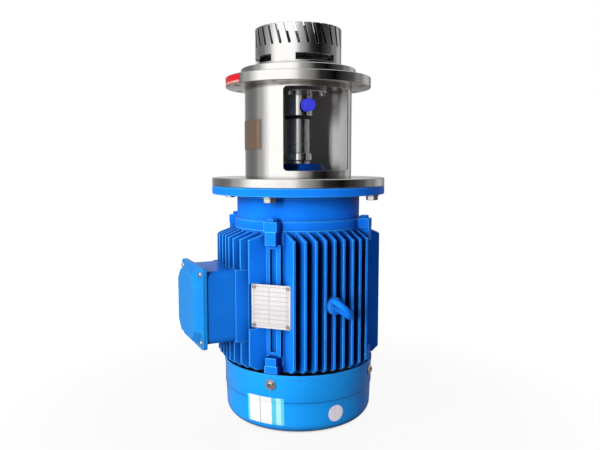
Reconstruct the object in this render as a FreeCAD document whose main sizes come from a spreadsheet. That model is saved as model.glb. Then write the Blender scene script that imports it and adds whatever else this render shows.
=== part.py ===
import FreeCAD, Part
import os
import Sketcher

from FreeCAD import Placement, Rotation, Vector

# A tank-bottom high shear mixer: a finned motor that stands on its fan cowl, a round lantern with
# one window round the seal, and a slotted stator head with a claw rotor. All sizes in millimetres.
# +Z is up along the shaft, the origin is on the floor, -X the terminal box, -Y the window.

SIZES = {
    # fan cowl
    "cowl_height": 100, "cowl_lip_radius": 131.4, "cowl_upper_radius": 130.4, "cowl_lower_radius": 129.3,
    "cowl_foot_radius": 127.2, "cowl_corner": 20, "cowl_wall": 2, "cowl_step_height": 55,
    "cowl_lip_depth": 7, "grille_inner": 34, "grille_slot": 7, "grille_bar": 5, "grille_angle": 37,
    "grille_sectors": 8, "cowl_screw_height": 83, "cowl_screw_radius": 3,
    "cowl_screw_head": 3.2, "cowl_washer_thick": 1.5, "cowl_hole_radius": 3.4,
    # motor frame and its fins
    "fin_ground_gap": 5, "fin_overhang": 8, "frame_length": 217.5, "frame_radius": 111, "frame_bore": 104.5,
    "fin_pitch": 16.3, "fin_thick": 4, "fin_flat": 138, "fin_envelope": 142, "fin_foot_cut": 6,
    "fin_top_gap": 1, "fin_top_slope": 0.4, "lug_reach": 130, "upper_lug_width": 18,
    "upper_lug_height": 21.5, "lower_lug_width": 18, "lower_lug_height": 13, "rib_reach": 118,
    "rib_width": 7.4, "rib_gap": 10.8, "rib_end": 7, "bolt_seat_thick": 7, "box_pad_reach": 139,
    # lifting eyebolt
    "eye_boss_radius": 14, "eye_height": 213, "eye_boss_reach": 138, "eye_thread_radius": 5,
    "eye_thread_length": 17, "eye_ring_radius": 17.5, "eye_ring_height": 22.5, "eye_bar_radius": 5,
    "eye_turn": 45, "eye_foot_thick": 4, "eye_neck_height": 7,
    # name plate on its cast seat
    "plate_width": 67, "plate_height": 71, "plate_thick": 1, "plate_seat_reach": 127.4,
    "plate_centre_height": 210.5, "plate_rivet_inset": 4.5, "plate_rivet_radius": 1.8,
    "plate_rivet_length": 8, "plate_post_radius": 5,
    # end shields
    "rim_length": 15.5, "ear_width": 22, "neck_length": 40.6, "neck_radius": 107, "flange_radius": 150,
    "flange_thick": 13.4, "spigot_radius": 115, "spigot_height": 4, "shield_wall": 8,
    "shield_register": 6, "hub_wall": 8, "hub_height": 38, "hub_top_radius": 43,
    "fan_rim_length": 14, "cowl_lug_drop": 27, "shield_bolt_circle": 120, "shield_bolt_radius": 4,
    "shield_bolt_head": 13, "shield_bolt_head_height": 5.3, "shield_bolt_length": 30,
    # shaft and its bearings
    "shaft_foot": 24, "fan_seat_radius": 15, "bearing_bore": 20, "bearing_outer": 40, "bearing_width": 18,
    "ball_radius": 5.95, "race_groove": 6.25, "outer_land": 34.5, "inner_land": 25.6, "ball_count": 9,
    "cage_half_height": 7.4, "cage_half_width": 2.2, "cage_pocket": 6.35, "shoulder_radius": 25,
    "core_seat_radius": 28, "drive_radius": 19.8, "rotor_seat_radius": 15, "nut_thread_radius": 10,
    "fan_bearing_height": 86, "wave_gap": 2, "shield_lip": 6, "drive_bearing_drop": 14,
    "lip_seal_radius": 31, "lip_seal_depth": 10, "running_gap": 0.3,
    # electrical parts
    "core_foot": 172, "core_length": 120, "stator_bore": 58, "air_gap": 0.5, "winding_length": 21,
    "winding_outer": 97, "winding_inner": 70, "end_ring_length": 11, "end_ring_inner": 40,
    # external fan
    "fan_foot": 28, "fan_length": 44, "fan_hub_radius": 25, "fan_disc_radius": 96, "fan_disc_thick": 3,
    "fan_blade_thick": 3, "fan_blade_reach": 104, "fan_blade_count": 8,
    # terminal box
    "box_centre_height": 209, "box_half_width": 60, "box_half_height": 59, "box_depth": 47,
    "box_corner": 12, "box_inner_cut": 14, "box_wall": 4, "gasket_thick": 0.8, "lid_half_width": 62,
    "lid_half_height": 66,
    "lid_thick": 7, "lid_corner": 7, "lid_panel_half_width": 57, "lid_panel_half_height": 60,
    "lid_panel_cut": 21, "lid_panel_rise": 11, "lid_panel_draft": 38, "lid_screw_across": 51.5,
    "box_screw_across": 44, "box_screw_up": 40, "box_screw_radius": 3, "box_screw_length": 16,
    "lid_screw_up": 55, "lid_screw_radius": 2.5, "lid_screw_head": 5, "wire_hole_radius": 9,
    "lid_screw_tap": 14, "lid_rim": 13, "lid_skin": 4, "wire_hole_height": 166, "entry_radius": 12.5,
    "entry_height": 192, "entry_spacing": 34, "entry_flats": 30, "gland_bore_radius": 7.5,
    "gland_collar_length": 18, "gland_length": 23, "gland_hex_length": 7, "plug_collar_length": 6,
    "plug_length": 7.5, "plug_hex_length": 5, "earth_radius": 2.5, "earth_height": 45,
    "board_width": 56, "board_height": 74, "board_thick": 8, "stud_radius": 2.5, "stud_across": 15,
    "stud_up": 22, "stud_length": 22, "stud_nut": 8, "stud_nut_height": 4, "link_thick": 1.5,
    # flange bolts and lantern
    "flange_bolt_circle": 132.5, "flange_bolt_hole": 7.25, "flange_bolt_radius": 6, "flange_bolt_head": 18,
    "flange_bolt_head_height": 7.5, "washer_radius": 12, "washer_thick": 2.4, "tapped_hole": 6.1,
    "tapped_depth": 11, "base_thick": 14.3, "base_bore": 84, "tube_radius": 92.5, "tube_wall": 4,
    "tube_length": 152.4, "window_half_width": 59.5, "window_foot": 12, "window_height": 135,
    "window_corner": 6, "tank_flange_radius": 125, "tank_flange_thick": 16.3, "tank_bolt_circle": 112,
    "tank_bolt_hole": 5.5, "tank_bolt_count": 8, "tank_spigot_radius": 99, "tank_spigot_height": 14.5,
    # shaft seal
    "seal_chamber": 36, "throat_radius": 24, "throat_thick": 7.5, "gland_radius": 50, "gland_thick": 8,
    "gland_sleeve_radius": 25, "gland_sleeve_drop": 38.7, "gland_bore": 20.4, "gland_screw_circle": 43,
    "gland_screw_radius": 3, "gland_screw_head": 5, "gland_screw_head_height": 6, "gland_screw_reach": 11,
    "seat_radius": 31, "seat_thick": 8, "seat_pocket": 5, "face_radius": 28, "face_thick": 9,
    "face_nose": 3, "face_nose_height": 2, "spring_height": 6, "bellows_inner": 21, "bellows_outer": 25,
    "bellows_wall": 0.8, "bellows_folds": 3, "drive_collar_radius": 27, "drive_collar_thick": 4.5,
    "v_ring_radius": 24.5, "v_ring_thick": 5, "flinger_radius": 23.5, "flinger_thick": 13,
    "flinger_height": 443, "nipple_radius": 6.5, "nipple_bore": 4, "nipple_reach": 40,
    "nipple_height": 536, "cap_radius": 11, "cap_depth": 16, "cap_face": 49,
    # stator head
    "head_radius": 74, "head_wall": 7, "head_foot": 7.5, "head_foot_inner": 52, "port_height": 11,
    "port_angle": 56.5, "port_count": 4, "band_height": 15, "slot_depth": 33.4, "slot_width": 4.4,
    "slot_count": 30, "slot_lean": 15, "head_screw_circle": 59.5, "head_screw_radius": 3,
    "head_screw_head": 5.2, "head_screw_head_height": 3.3,
    # mixing rotor
    "blade_gap": 0.6, "rotor_hub_radius": 23, "rotor_hub_length": 38, "rotor_lift": 8.5,
    "rotor_web_radius": 44, "rotor_web_thick": 5, "rotor_web_lift": 19, "blade_thick": 7, "blade_count": 6,
    "blade_foot": 19, "blade_height": 43, "blade_offset": 13, "rotor_key_width": 8, "rotor_key_depth": 2.9,
    "rotor_key_length": 26, "cap_nut_across": 30, "cap_nut_height": 12, "cap_nut_dome": 8,
    "fan_key_width": 8, "fan_key_depth": 2.6, "fan_key_length": 32, "key_rise": 1.9,
    # gaps between neighbours: on a seat, in a thread, round a spigot and in a through hole
    "slip_gap": 0.02, "tap_gap": 0.05, "clearance": 0.15, "hole_gap": 0.4,
    # broken edges, and how far a cut runs past what it cuts
    "fine_break": 0.8, "edge_break": 1, "overrun": 1,
    # small blank plate on the lantern
    "small_plate_foot": 47, "small_plate_height": 49, "small_plate_angle": 46, "small_plate_place": 89,
    "small_plate_thick": 0.5, "small_plate_gap": 0.2,
}

# Stations up the axis and radii that follow from the sizes above.
STATIONS = {
    "z_fin_foot": "cowl_height + fin_ground_gap",
    "z_frame_foot": "z_fin_foot + fin_overhang",
    "z_frame_top": "z_frame_foot + frame_length",
    "z_rim_top": "z_frame_top + rim_length",
    "z_flange_back": "z_rim_top + neck_length",
    "z_flange": "z_flange_back + flange_thick",
    "z_hub_top": "z_flange + hub_height",
    "z_tube_foot": "z_flange + base_thick",
    "z_tube_top": "z_tube_foot + tube_length",
    "z_tank_face": "z_tube_top + tank_flange_thick",
    "z_spigot_top": "z_tank_face + tank_spigot_height",
    "z_ports": "z_spigot_top + head_foot",
    "z_band": "z_ports + port_height",
    "z_slots": "z_band + band_height",
    "z_top": "z_slots + slot_depth",
    "head_inner": "head_radius - head_wall",
    "plate_rivet_across": "plate_width / 2 - plate_rivet_inset",
    "plate_rivet_up": "plate_height / 2 - plate_rivet_inset",
    "z_fan_rim_foot": "z_frame_foot - fan_rim_length",
    "z_lug_foot": "z_fan_rim_foot + 2 - cowl_lug_drop",
    "cowl_lug_reach": "cowl_upper_radius - cowl_wall - 0.6",
    "z_fan_bearing": "fan_bearing_height",
    "z_wave_seat": "z_fan_bearing - wave_gap",
    "z_drive_bearing": "z_hub_top - drive_bearing_drop - bearing_width",
    "hub_radius": "bearing_outer + hub_wall",
    "ball_circle": "(bearing_bore + bearing_outer) / 2",
    "rotor_core_radius": "stator_bore - air_gap",
    "z_core_top": "core_foot + core_length",
    "box_back": "box_pad_reach",
    "box_face": "box_back + box_depth",
    "lid_back": "box_face + gasket_thick",
    "lid_face": "lid_back + lid_thick",
    "z_gland_foot": "z_tube_top - gland_thick",
    "z_sleeve_foot": "z_gland_foot - gland_sleeve_drop",
    "z_v_ring": "z_sleeve_foot - running_gap - v_ring_thick",
    "z_seat": "z_tube_top - seat_pocket",
    "z_face": "z_seat + seat_thick",
    "z_spring": "z_face + face_thick",
    "z_collar": "z_spring + spring_height",
    "z_rotor": "z_spigot_top + rotor_lift",
    "z_rotor_top": "z_rotor + rotor_hub_length",
    "z_nut_top": "z_rotor_top + cap_nut_height",
    "on_shaft": "drive_radius + tap_gap",
    "tapped_bolt": "shield_bolt_radius + tap_gap",
    "rotor_radius": "head_radius - head_wall - blade_gap",
    "z_web": "z_spigot_top + rotor_web_lift",
    "z_blade": "z_spigot_top + blade_foot",
}

CORNER = 45.0

doc = FreeCAD.newDocument("tank_bottom_mixer")
dim = doc.addObject("Spreadsheet::Sheet", "dim")
nodes = []


def fill_sheet():
    """Driving sizes as plain numbers, then the stations as formulas of them."""
    rows = [(name, str(number)) for name, number in SIZES.items()]
    rows += [(name, "=" + formula) for name, formula in STATIONS.items()]
    for row, (name, text) in enumerate(rows, start=1):
        dim.set(f"A{row}", name)
        dim.set(f"B{row}", text)
        dim.setAlias(f"B{row}", name)
    doc.recompute()


def full(formula):
    """A formula of aliases, with each alias written as the sheet's own cell."""
    words = []
    word = ""
    for letter in formula + " ":
        if letter.isalnum() or letter == "_":
            word += letter
            continue
        words.append("dim." + word if word in SIZES or word in STATIONS else word)
        words.append(letter)
        word = ""
    return "".join(words).strip()


def number(formula):
    return float(dim.evalExpression(full(str(formula))))


def origin(body, role):
    return next(feature for feature in body.Origin.OriginFeatures if feature.Role == role)


def new_body(label):
    body = doc.addObject("PartDesign::Body", label)
    body.Label = label
    nodes.append(body)
    return body


def hold(sketch, kind, geometry, point, formula):
    """One constraint of a sketch that follows a formula of the sheet."""
    value = number(formula)
    if kind == "Radius":
        index = sketch.addConstraint(Sketcher.Constraint(kind, geometry, value))
    else:
        index = sketch.addConstraint(Sketcher.Constraint(kind, geometry, point, value))
    sketch.setExpression(f"Constraints[{index}]", full(str(formula)))


def draw_circle(sketch, across, up, radius):
    centre = Vector(number(across), number(up), 0)
    circle = sketch.addGeometry(Part.Circle(centre, Vector(0, 0, 1), number(radius)), False)
    hold(sketch, "DistanceX", circle, 3, across)
    hold(sketch, "DistanceY", circle, 3, up)
    hold(sketch, "Radius", circle, None, radius)


def draw_loop(sketch, corners):
    points = [Vector(number(across), number(up), 0) for across, up in corners]
    count = len(points)
    first = sketch.GeometryCount
    for i in range(count):
        sketch.addGeometry(Part.LineSegment(points[i], points[(i + 1) % count]), False)
    for i in range(count):
        sketch.addConstraint(Sketcher.Constraint("Coincident", first + i, 2, first + (i + 1) % count, 1))
    for i, (across, up) in enumerate(corners):
        hold(sketch, "DistanceX", first + i, 1, across)
        hold(sketch, "DistanceY", first + i, 1, up)


def draw(body, plane, shapes, lift="0", turn=0.0, swing=0.0):
    """A sketch lifted off one of the body's planes. turn goes round the plane's normal, and swing
    goes round the plane's upright line, which takes an upright sketch round the shaft axis."""
    sketch = body.newObject("Sketcher::SketchObject", body.Name + "_sketch")
    sketch.AttachmentSupport = [(origin(body, plane), "")]
    sketch.MapMode = "FlatFace"
    rotation = Rotation(Vector(0, 1, 0), swing).multiply(Rotation(Vector(0, 0, 1), turn))
    sketch.AttachmentOffset = Placement(Vector(), rotation)
    sketch.setExpression("AttachmentOffset.Base.x", full(f"({lift}) * sin({swing})"))
    sketch.setExpression("AttachmentOffset.Base.z", full(f"({lift}) * cos({swing})"))
    for shape in shapes:
        if shape[0] == "circle":
            draw_circle(sketch, *shape[1:])
        else:
            draw_loop(sketch, shape)
    return sketch


def rectangle(low_across, low_up, high_across, high_up):
    return [(low_across, low_up), (high_across, low_up), (high_across, high_up), (low_across, high_up)]


def cut_rectangle(half_across, half_up, corner, middle_up="0"):
    """A rectangle about the upright middle line whose four corners are cut off at 45 degrees."""
    near = f"{half_across} - {corner}"
    low = f"{middle_up} - ({half_up})"
    high = f"{middle_up} + {half_up}"
    return [
        (f"-({near})", low), (near, low), (half_across, f"{low} + {corner}"),
        (half_across, f"{high} - ({corner})"), (near, high), (f"-({near})", high),
        (f"-({half_across})", f"{high} - ({corner})"), (f"-({half_across})", f"{low} + {corner}"),
    ]


def hexagon(across, up, flats, start=30):
    reach = f"({flats}) / 2 / cos(30)"
    return [
        (f"{across} + {reach} * cos({start + 60 * i})", f"{up} + {reach} * sin({start + 60 * i})")
        for i in range(6)
    ]


def feature(body, kind, sketch):
    made = body.newObject("PartDesign::" + kind, f"{body.Name}_{kind.lower()}")
    made.Profile = (sketch, [""])
    return made


def turned(body, loops, cut=False, angle=360.0):
    """Adds or cuts the ring that closed loops of (radius, height) sweep about the shaft axis."""
    made = feature(body, "Groove" if cut else "Revolution", draw(body, "XZ_Plane", loops))
    made.ReferenceAxis = (origin(body, "Z_Axis"), [""])
    made.Angle = angle
    before = body.Shape.Volume if cut else 0.0
    settle(body, made)
    if cut and body.Shape.Volume >= before:
        raise ValueError(f"{made.Name} takes nothing off {body.Label}")
    return made


def settle(body, made):
    """Makes a new feature the body's tip and recomputes."""
    body.Tip = made
    doc.recompute()
    return made


def grown(body, sketch, length, reverse=False, draft=0.0):
    """Pads a sketch along its normal, or against it."""
    made = feature(body, "Pad", sketch)
    made.setExpression("Length", full(length))
    made.Reversed = reverse
    made.TaperAngle = draft
    return settle(body, made)


def carved(body, sketch, length, back=None, reverse=False):
    """Pockets a sketch against its normal, and by back the other way too."""
    before = body.Shape.Volume
    made = feature(body, "Pocket", sketch)
    made.setExpression("Length", full(length))
    made.Reversed = reverse
    if back is not None:
        made.SideType = "Two sides"
        made.setExpression("Length2", full(back))
    settle(body, made)
    if body.Shape.Volume >= before:
        raise ValueError(f"{made.Name} takes nothing off {body.Label}")
    return made


def around(body, features, count, angle=360.0):
    """Repeats features about the shaft axis."""
    made = body.newObject("PartDesign::PolarPattern", body.Name + "_around")
    made.Originals = features
    made.Axis = (origin(body, "Z_Axis"), [""])
    made.Angle = angle
    made.setExpression("Occurrences", full(str(count)))
    return settle(body, made)


def softened(body, kind, size, wanted):
    """Fillets or chamfers the edges of the body that a test picks."""
    edges = [f"Edge{i}" for i, edge in enumerate(body.Shape.Edges, start=1) if wanted(edge)]
    if not edges:
        raise ValueError(f"no edge of {body.Label} to soften")
    base = body.Tip
    made = body.newObject("PartDesign::" + kind, f"{body.Name}_{kind.lower()}")
    made.Base = (base, edges)
    made.setExpression("Radius" if kind == "Fillet" else "Size", full(size))
    return settle(body, made)


def ring_at(radius, height):
    """A test for the round edge about the shaft axis at a radius and a height."""
    reach = number(radius)
    level = number(height)

    def wanted(edge):
        if not isinstance(edge.Curve, Part.Circle):
            return False
        return abs(edge.Curve.Radius - reach) < 0.01 and abs(edge.Curve.Center.z - level) < 0.01

    return wanted


def along(edge, direction):
    """Whether an edge is a straight line that runs in a direction."""
    if not isinstance(edge.Curve, Part.Line):
        return False
    return abs(edge.Curve.Direction.dot(direction)) > 0.999


def turn_corner(body):
    """Turns a piece that is drawn on the main axes on to the 45 degree corners."""
    body.Placement = Placement(Vector(), Rotation(Vector(0, 0, 1), CORNER))


def on_circle(circle, radius):
    """A circle on the -Y line, at a bolt circle's radius from the shaft."""
    return ("circle", "0", f"-({circle})", radius)


def block(width, far, near):
    """A rectangle across the -Y line, between two distances from the shaft."""
    return rectangle(f"-({width}) / 2", f"-({far})", f"({width}) / 2", f"-({near})")


def spots(across, up, radius, middle="box_centre_height"):
    """Four circles at the corners of a rectangle about a middle height."""
    return [("circle", f"{side} * {across}", f"{middle} + {end} * {up}", radius)
            for side in (-1, 1) for end in (-1, 1)]


def fan_cowl():
    body = new_body("fan_cowl")
    lip = "cowl_height - cowl_lip_depth"
    turned(body, [[
        ("0", "0"), ("cowl_foot_radius", "0"), ("cowl_lower_radius", "cowl_step_height - 1"),
        ("cowl_upper_radius", "cowl_step_height + 1"), ("cowl_upper_radius", lip),
        ("cowl_lip_radius", lip + " + 1"), ("cowl_lip_radius", "cowl_height"),
        ("cowl_lip_radius - cowl_wall", "cowl_height"), ("cowl_lip_radius - cowl_wall", lip + " + 1"),
        ("cowl_upper_radius - cowl_wall", lip), ("cowl_upper_radius - cowl_wall", "cowl_step_height + 1"),
        ("cowl_lower_radius - cowl_wall", "cowl_step_height - 1"),
        ("cowl_foot_radius - cowl_wall", "cowl_wall"), ("0", "cowl_wall"),
    ]])
    softened(body, "Fillet", "cowl_corner", ring_at("cowl_foot_radius", "0"))
    softened(body, "Fillet", "cowl_corner - cowl_wall",
             ring_at("cowl_foot_radius - cowl_wall", "cowl_wall"))
    rings = []
    for i in range(6):
        inner = f"grille_inner + {i} * (grille_slot + grille_bar)"
        rings.append(rectangle(inner, "-1", inner + " + grille_slot", "cowl_wall + 1"))
    slots = turned(body, rings, cut=True, angle=number("grille_angle"))
    slots.setExpression("Angle", full("grille_angle"))
    around(body, [slots], "grille_sectors")
    hole = draw(body, "XZ_Plane", [("circle", "0", "cowl_screw_height", "cowl_hole_radius")])
    around(body, [carved(body, hole, "cowl_lip_radius + 5", reverse=True)], 4)
    turn_corner(body)


def cowl_screws():
    body = new_body("cowl_screws")
    rounds = [
        ("cowl_upper_radius - 12", "12", "cowl_screw_radius"),
        ("cowl_upper_radius", "cowl_washer_thick", "cowl_screw_radius + 4"),
        ("cowl_upper_radius + cowl_washer_thick", "cowl_screw_head", "cowl_screw_radius + 2.3"),
    ]
    made = []
    for foot, length, radius in rounds:
        sketch = draw(body, "XZ_Plane", [("circle", "0", "cowl_screw_height", radius)], lift=foot)
        made.append(grown(body, sketch, length))
    socket = draw(body, "XZ_Plane", [hexagon("0", "cowl_screw_height", "4")],
                  lift="cowl_upper_radius + cowl_washer_thick + cowl_screw_head")
    made.append(carved(body, socket, "2"))
    around(body, made, 4)
    turn_corner(body)


def cooling_fan():
    body = new_body("cooling_fan")
    top = "fan_foot + fan_length"
    bore = "fan_seat_radius + slip_gap"
    turned(body, [[
        (bore, "fan_foot"), ("fan_hub_radius", "fan_foot"),
        ("fan_hub_radius + 2", top + " - fan_disc_thick"),
        ("fan_disc_radius", top + " - fan_disc_thick"), ("fan_disc_radius", top), (bore, top),
    ]])
    half = "fan_blade_thick / 2"
    blade = draw(body, "XY_Plane", [rectangle("fan_hub_radius - 2", "-" + half, "fan_blade_reach", half)],
                 lift="fan_foot + 6")
    around(body, [grown(body, blade, "fan_length - 6")], "fan_blade_count")
    key = draw(body, "XY_Plane", [block("fan_key_width", "fan_seat_radius + 2", "0")], lift=top)
    carved(body, key, "fan_length")


def fan_circlip():
    ring = rectangle("fan_seat_radius - 1.1", "fan_foot - 1.6", "fan_seat_radius + 3", "fan_foot - 0.1")
    turned(new_body("fan_circlip"), [ring], angle=325.0)


def shaft_key(label, seat, foot, length, width, depth):
    """A flat key half sunk in the shaft on its -Y side."""
    body = new_body(label)
    half = f"({width} / 2 - slip_gap)"
    outline = draw(body, "XZ_Plane", [rectangle("-" + half, foot, half, f"{foot} + {length}")],
                   lift=f"{seat} - {depth}")
    grown(body, outline, depth + " + key_rise")


def fan_end_shield():
    body = new_body("fan_end_shield")
    web = "z_fan_rim_foot + shield_wall"
    register = "z_frame_foot + shield_register"
    bore = "bearing_bore + 2"
    turned(body, [[
        (bore, "z_wave_seat - shield_lip"), ("hub_radius", "z_wave_seat - shield_lip"),
        ("hub_radius", "z_fan_rim_foot"), ("frame_radius", "z_fan_rim_foot"),
        ("frame_radius", "z_frame_foot"),
        ("frame_bore", "z_frame_foot"), ("frame_bore", register), ("frame_bore - shield_wall", register),
        ("frame_bore - shield_wall", web), ("bearing_outer", web), ("bearing_outer", "z_wave_seat"),
        (bore, "z_wave_seat"),
    ]])
    ear = draw(body, "XY_Plane", [block("ear_width", "lug_reach", "frame_bore - 1")],
               lift="z_fan_rim_foot + 2")
    ears = grown(body, ear, "fan_rim_length - 2")
    lug = draw(body, "XY_Plane", [block("ear_width - 3", "cowl_lug_reach", "frame_bore - 4")],
               lift="z_lug_foot")
    lugs = grown(body, lug, "cowl_lug_drop")
    bolt = draw(body, "XY_Plane", [on_circle("shield_bolt_circle", "tapped_bolt")], lift="z_frame_foot")
    bolts = carved(body, bolt, "fan_rim_length + 2")
    screw = draw(body, "XZ_Plane", [("circle", "0", "cowl_screw_height", "cowl_screw_radius + tap_gap")],
                 lift="cowl_lug_reach")
    screws = carved(body, screw, "15")
    around(body, [ears, lugs, bolts, screws], 4)
    turn_corner(body)


def hex_bolts(label, circle, seat, head_up, flats, head, shank_radius, shank):
    """Four bolts at the corners, parallel to the shaft, with a hexagon head that sits on the seat."""
    body = new_body(label)
    head_sketch = draw(body, "XY_Plane", [hexagon("0", "-" + circle, flats)], lift=seat)
    head_pad = grown(body, head_sketch, head, reverse=not head_up)
    shank_sketch = draw(body, "XY_Plane", [on_circle(circle, shank_radius)], lift=seat)
    shank_pad = grown(body, shank_sketch, shank, reverse=head_up)
    around(body, [head_pad, shank_pad], 4)
    turn_corner(body)


def socket_screws(label, circle, seat, head_up, head_radius, head, shank_radius, shank, socket):
    """Four round-headed screws with hexagon sockets, parallel to the shaft and at the corners."""
    body = new_body(label)
    head_sketch = draw(body, "XY_Plane", [on_circle(circle, head_radius)], lift=seat)
    head_pad = grown(body, head_sketch, head, reverse=not head_up)
    shank_sketch = draw(body, "XY_Plane", [on_circle(circle, shank_radius)], lift=seat)
    shank_pad = grown(body, shank_sketch, shank, reverse=head_up)
    top = f"{seat} + {head}" if head_up else f"{seat} - {head}"
    socket_sketch = draw(body, "XY_Plane", [hexagon("0", "-" + circle, socket)], lift=top)
    socket_cut = carved(body, socket_sketch, head + " * 0.6", reverse=not head_up)
    around(body, [head_pad, shank_pad, socket_cut], 4)
    turn_corner(body)


def ring_of_fins(body, middle, count, turn):
    """Parallel cooling fins on one side of the barrel, drawn towards -Y and turned from there."""
    loops = []
    for i in range(count):
        place = f"(({i} - {middle}) * fin_pitch)"
        tip = f"min(fin_flat; sqrt(fin_envelope ^ 2 - {place} ^ 2))"
        root = f"sqrt((frame_radius - 3) ^ 2 - {place} ^ 2)"
        loops.append(rectangle(f"{place} - fin_thick / 2", "-" + tip,
                               f"{place} + fin_thick / 2", "-" + root))
    sketch = draw(body, "XY_Plane", loops, lift="z_fin_foot", turn=turn)
    return grown(body, sketch, "z_frame_top - fin_top_gap - z_fin_foot")


def motor_frame():
    body = new_body("motor_frame")
    turned(body, [rectangle("frame_bore", "z_frame_foot", "frame_radius", "z_frame_top")])
    around(body, [ring_of_fins(body, 4, 9, 0.0)], 3, angle=180.0)
    ring_of_fins(body, 4.5, 10, -90.0)
    reach = "fin_envelope + 10"
    top = "z_frame_top - fin_top_gap"
    turned(body, [
        [("frame_radius", top), (reach, f"{top} - fin_top_slope * ({reach} - frame_radius)"),
         (reach, "z_frame_top"), ("frame_radius", "z_frame_top")],
        [("fin_flat - fin_foot_cut", "z_fin_foot - overrun"), (reach, "z_fin_foot - overrun"),
         (reach, "z_fin_foot + fin_foot_cut + 10"), ("fin_flat", "z_fin_foot + fin_foot_cut - overrun")],
        rectangle("frame_bore - 20", "z_fin_foot - overrun", "frame_radius + 0.3", "z_frame_foot"),
    ], cut=True)
    room = "ear_width / 2 + 0.6"
    ears = [block("ear_width + 1.2", "lug_reach + 2", "frame_radius - 3"),
            rectangle("-lug_reach - 2", f"-({room})", "-frame_radius + 3", room)]
    carved(body, draw(body, "XY_Plane", ears, lift="z_frame_foot", turn=-CORNER), "fin_overhang + overrun")
    corner_lugs(body)
    side_pads(body)


def corner_lugs(body):
    """Bolt lugs at both ends of the four corners, joined by a pair of ribs."""
    root = "frame_bore + 2"
    seat = "z_frame_foot + lower_lug_height"
    ribs = "frame_length - lower_lug_height - upper_lug_height"
    upper = draw(body, "XY_Plane", [block("upper_lug_width", "lug_reach", root)], lift="z_frame_top",
                 turn=CORNER)
    uppers = grown(body, upper, "upper_lug_height", reverse=True)
    lower = draw(body, "XY_Plane", [block("lower_lug_width", "lug_reach", root)], lift="z_frame_foot",
                 turn=CORNER)
    lowers = grown(body, lower, "lower_lug_height")
    pad = draw(body, "XY_Plane", [block("rib_gap + 2 * rib_width", "rib_reach", root)],
               lift=seat, turn=CORNER)
    pads = grown(body, pad, ribs)
    groove = draw(body, "XY_Plane", [block("rib_gap", "rib_reach + overrun", "frame_radius + 0.5")],
                  lift="z_frame_top - upper_lug_height - rib_end", turn=CORNER)
    grooves = carved(body, groove, ribs + " - 2 * rib_end")
    tap = draw(body, "XY_Plane", [on_circle("shield_bolt_circle", "tapped_bolt")], lift="z_frame_top",
               turn=CORNER)
    taps = carved(body, tap, "upper_lug_height - 3")
    bore = draw(body, "XY_Plane", [on_circle("shield_bolt_circle", "shield_bolt_radius + hole_gap")],
                lift=seat, turn=CORNER)
    bores = carved(body, bore, "lower_lug_height + overrun")
    sink = draw(body, "XY_Plane", [on_circle("shield_bolt_circle", "shield_bolt_head / 2 + 1.6")],
                lift=seat, turn=CORNER)
    sinks = carved(body, sink, "lower_lug_height - bolt_seat_thick", back="2")
    around(body, [uppers, lowers, pads, grooves, taps, bores, sinks], 4)


def side_pads(body):
    """The terminal box's seat, the eyebolt's boss and the name plate's flat seat."""
    seat = draw(body, "YZ_Plane", [rectangle("-box_half_width", "box_centre_height - box_half_height",
                                             "box_half_width", "box_centre_height + box_half_height")],
                lift="-frame_bore + 14")
    grown(body, seat, "box_back - frame_bore + 14", reverse=True)
    turned(body, [rectangle("frame_bore - 20", "z_frame_foot", "frame_bore", "z_frame_top")], cut=True)
    wires = draw(body, "YZ_Plane", [("circle", "0", "wire_hole_height", "wire_hole_radius")],
                 lift="-box_back - overrun")
    carved(body, wires, "box_back - frame_bore + 5", reverse=True)
    fixings = spots("box_screw_across", "box_screw_up", "box_screw_radius + tap_gap")
    fixings.append(("circle", "0", "box_centre_height + earth_height", "earth_radius + tap_gap"))
    carved(body, draw(body, "YZ_Plane", fixings, lift="-box_back"), "box_screw_length", reverse=True)
    boss = draw(body, "XZ_Plane", [("circle", "0", "eye_height", "eye_boss_radius")], lift="frame_bore + 3")
    grown(body, boss, "eye_boss_reach - frame_bore - 3")
    tap = draw(body, "XZ_Plane", [("circle", "0", "eye_height", "eye_thread_radius + tap_gap")],
               lift="eye_boss_reach")
    carved(body, tap, "eye_thread_length + overrun")
    posts = draw(body, "XZ_Plane", plate_spots("plate_post_radius"), lift="frame_radius - 8", swing=-CORNER)
    grown(body, posts, "plate_seat_reach - frame_radius + 8")
    flat = rectangle("-plate_width / 2 - 1", "plate_centre_height - plate_height / 2 - 1.5",
                     "plate_width / 2 + 1", "plate_centre_height + plate_height / 2 + 1.5")
    carved(body, draw(body, "XZ_Plane", [flat], lift="plate_seat_reach", swing=-CORNER), "25", reverse=True)
    rivets = draw(body, "XZ_Plane", plate_spots("plate_rivet_radius"),
                  lift="plate_seat_reach", swing=-CORNER)
    carved(body, rivets, "plate_rivet_length")


def plate_spots(radius):
    return spots("plate_rivet_across", "plate_rivet_up", radius, "plate_centre_height")


def name_plate():
    body = new_body("name_plate")
    shapes = [rectangle("-plate_width / 2", "plate_centre_height - plate_height / 2",
                        "plate_width / 2", "plate_centre_height + plate_height / 2")]
    shapes += plate_spots("plate_rivet_radius + 0.1")
    grown(body, draw(body, "XZ_Plane", shapes, lift="plate_seat_reach", swing=-CORNER), "plate_thick")


def plate_rivets():
    body = new_body("plate_rivets")
    face = "plate_seat_reach + plate_thick"
    pieces = [
        ("plate_rivet_radius", face + " - plate_rivet_length", "plate_rivet_length"),
        ("plate_rivet_radius + 1.4", face, "1.2"),
    ]
    for radius, foot, length in pieces:
        grown(body, draw(body, "XZ_Plane", plate_spots(radius), lift=foot, swing=-CORNER), length)


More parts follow.
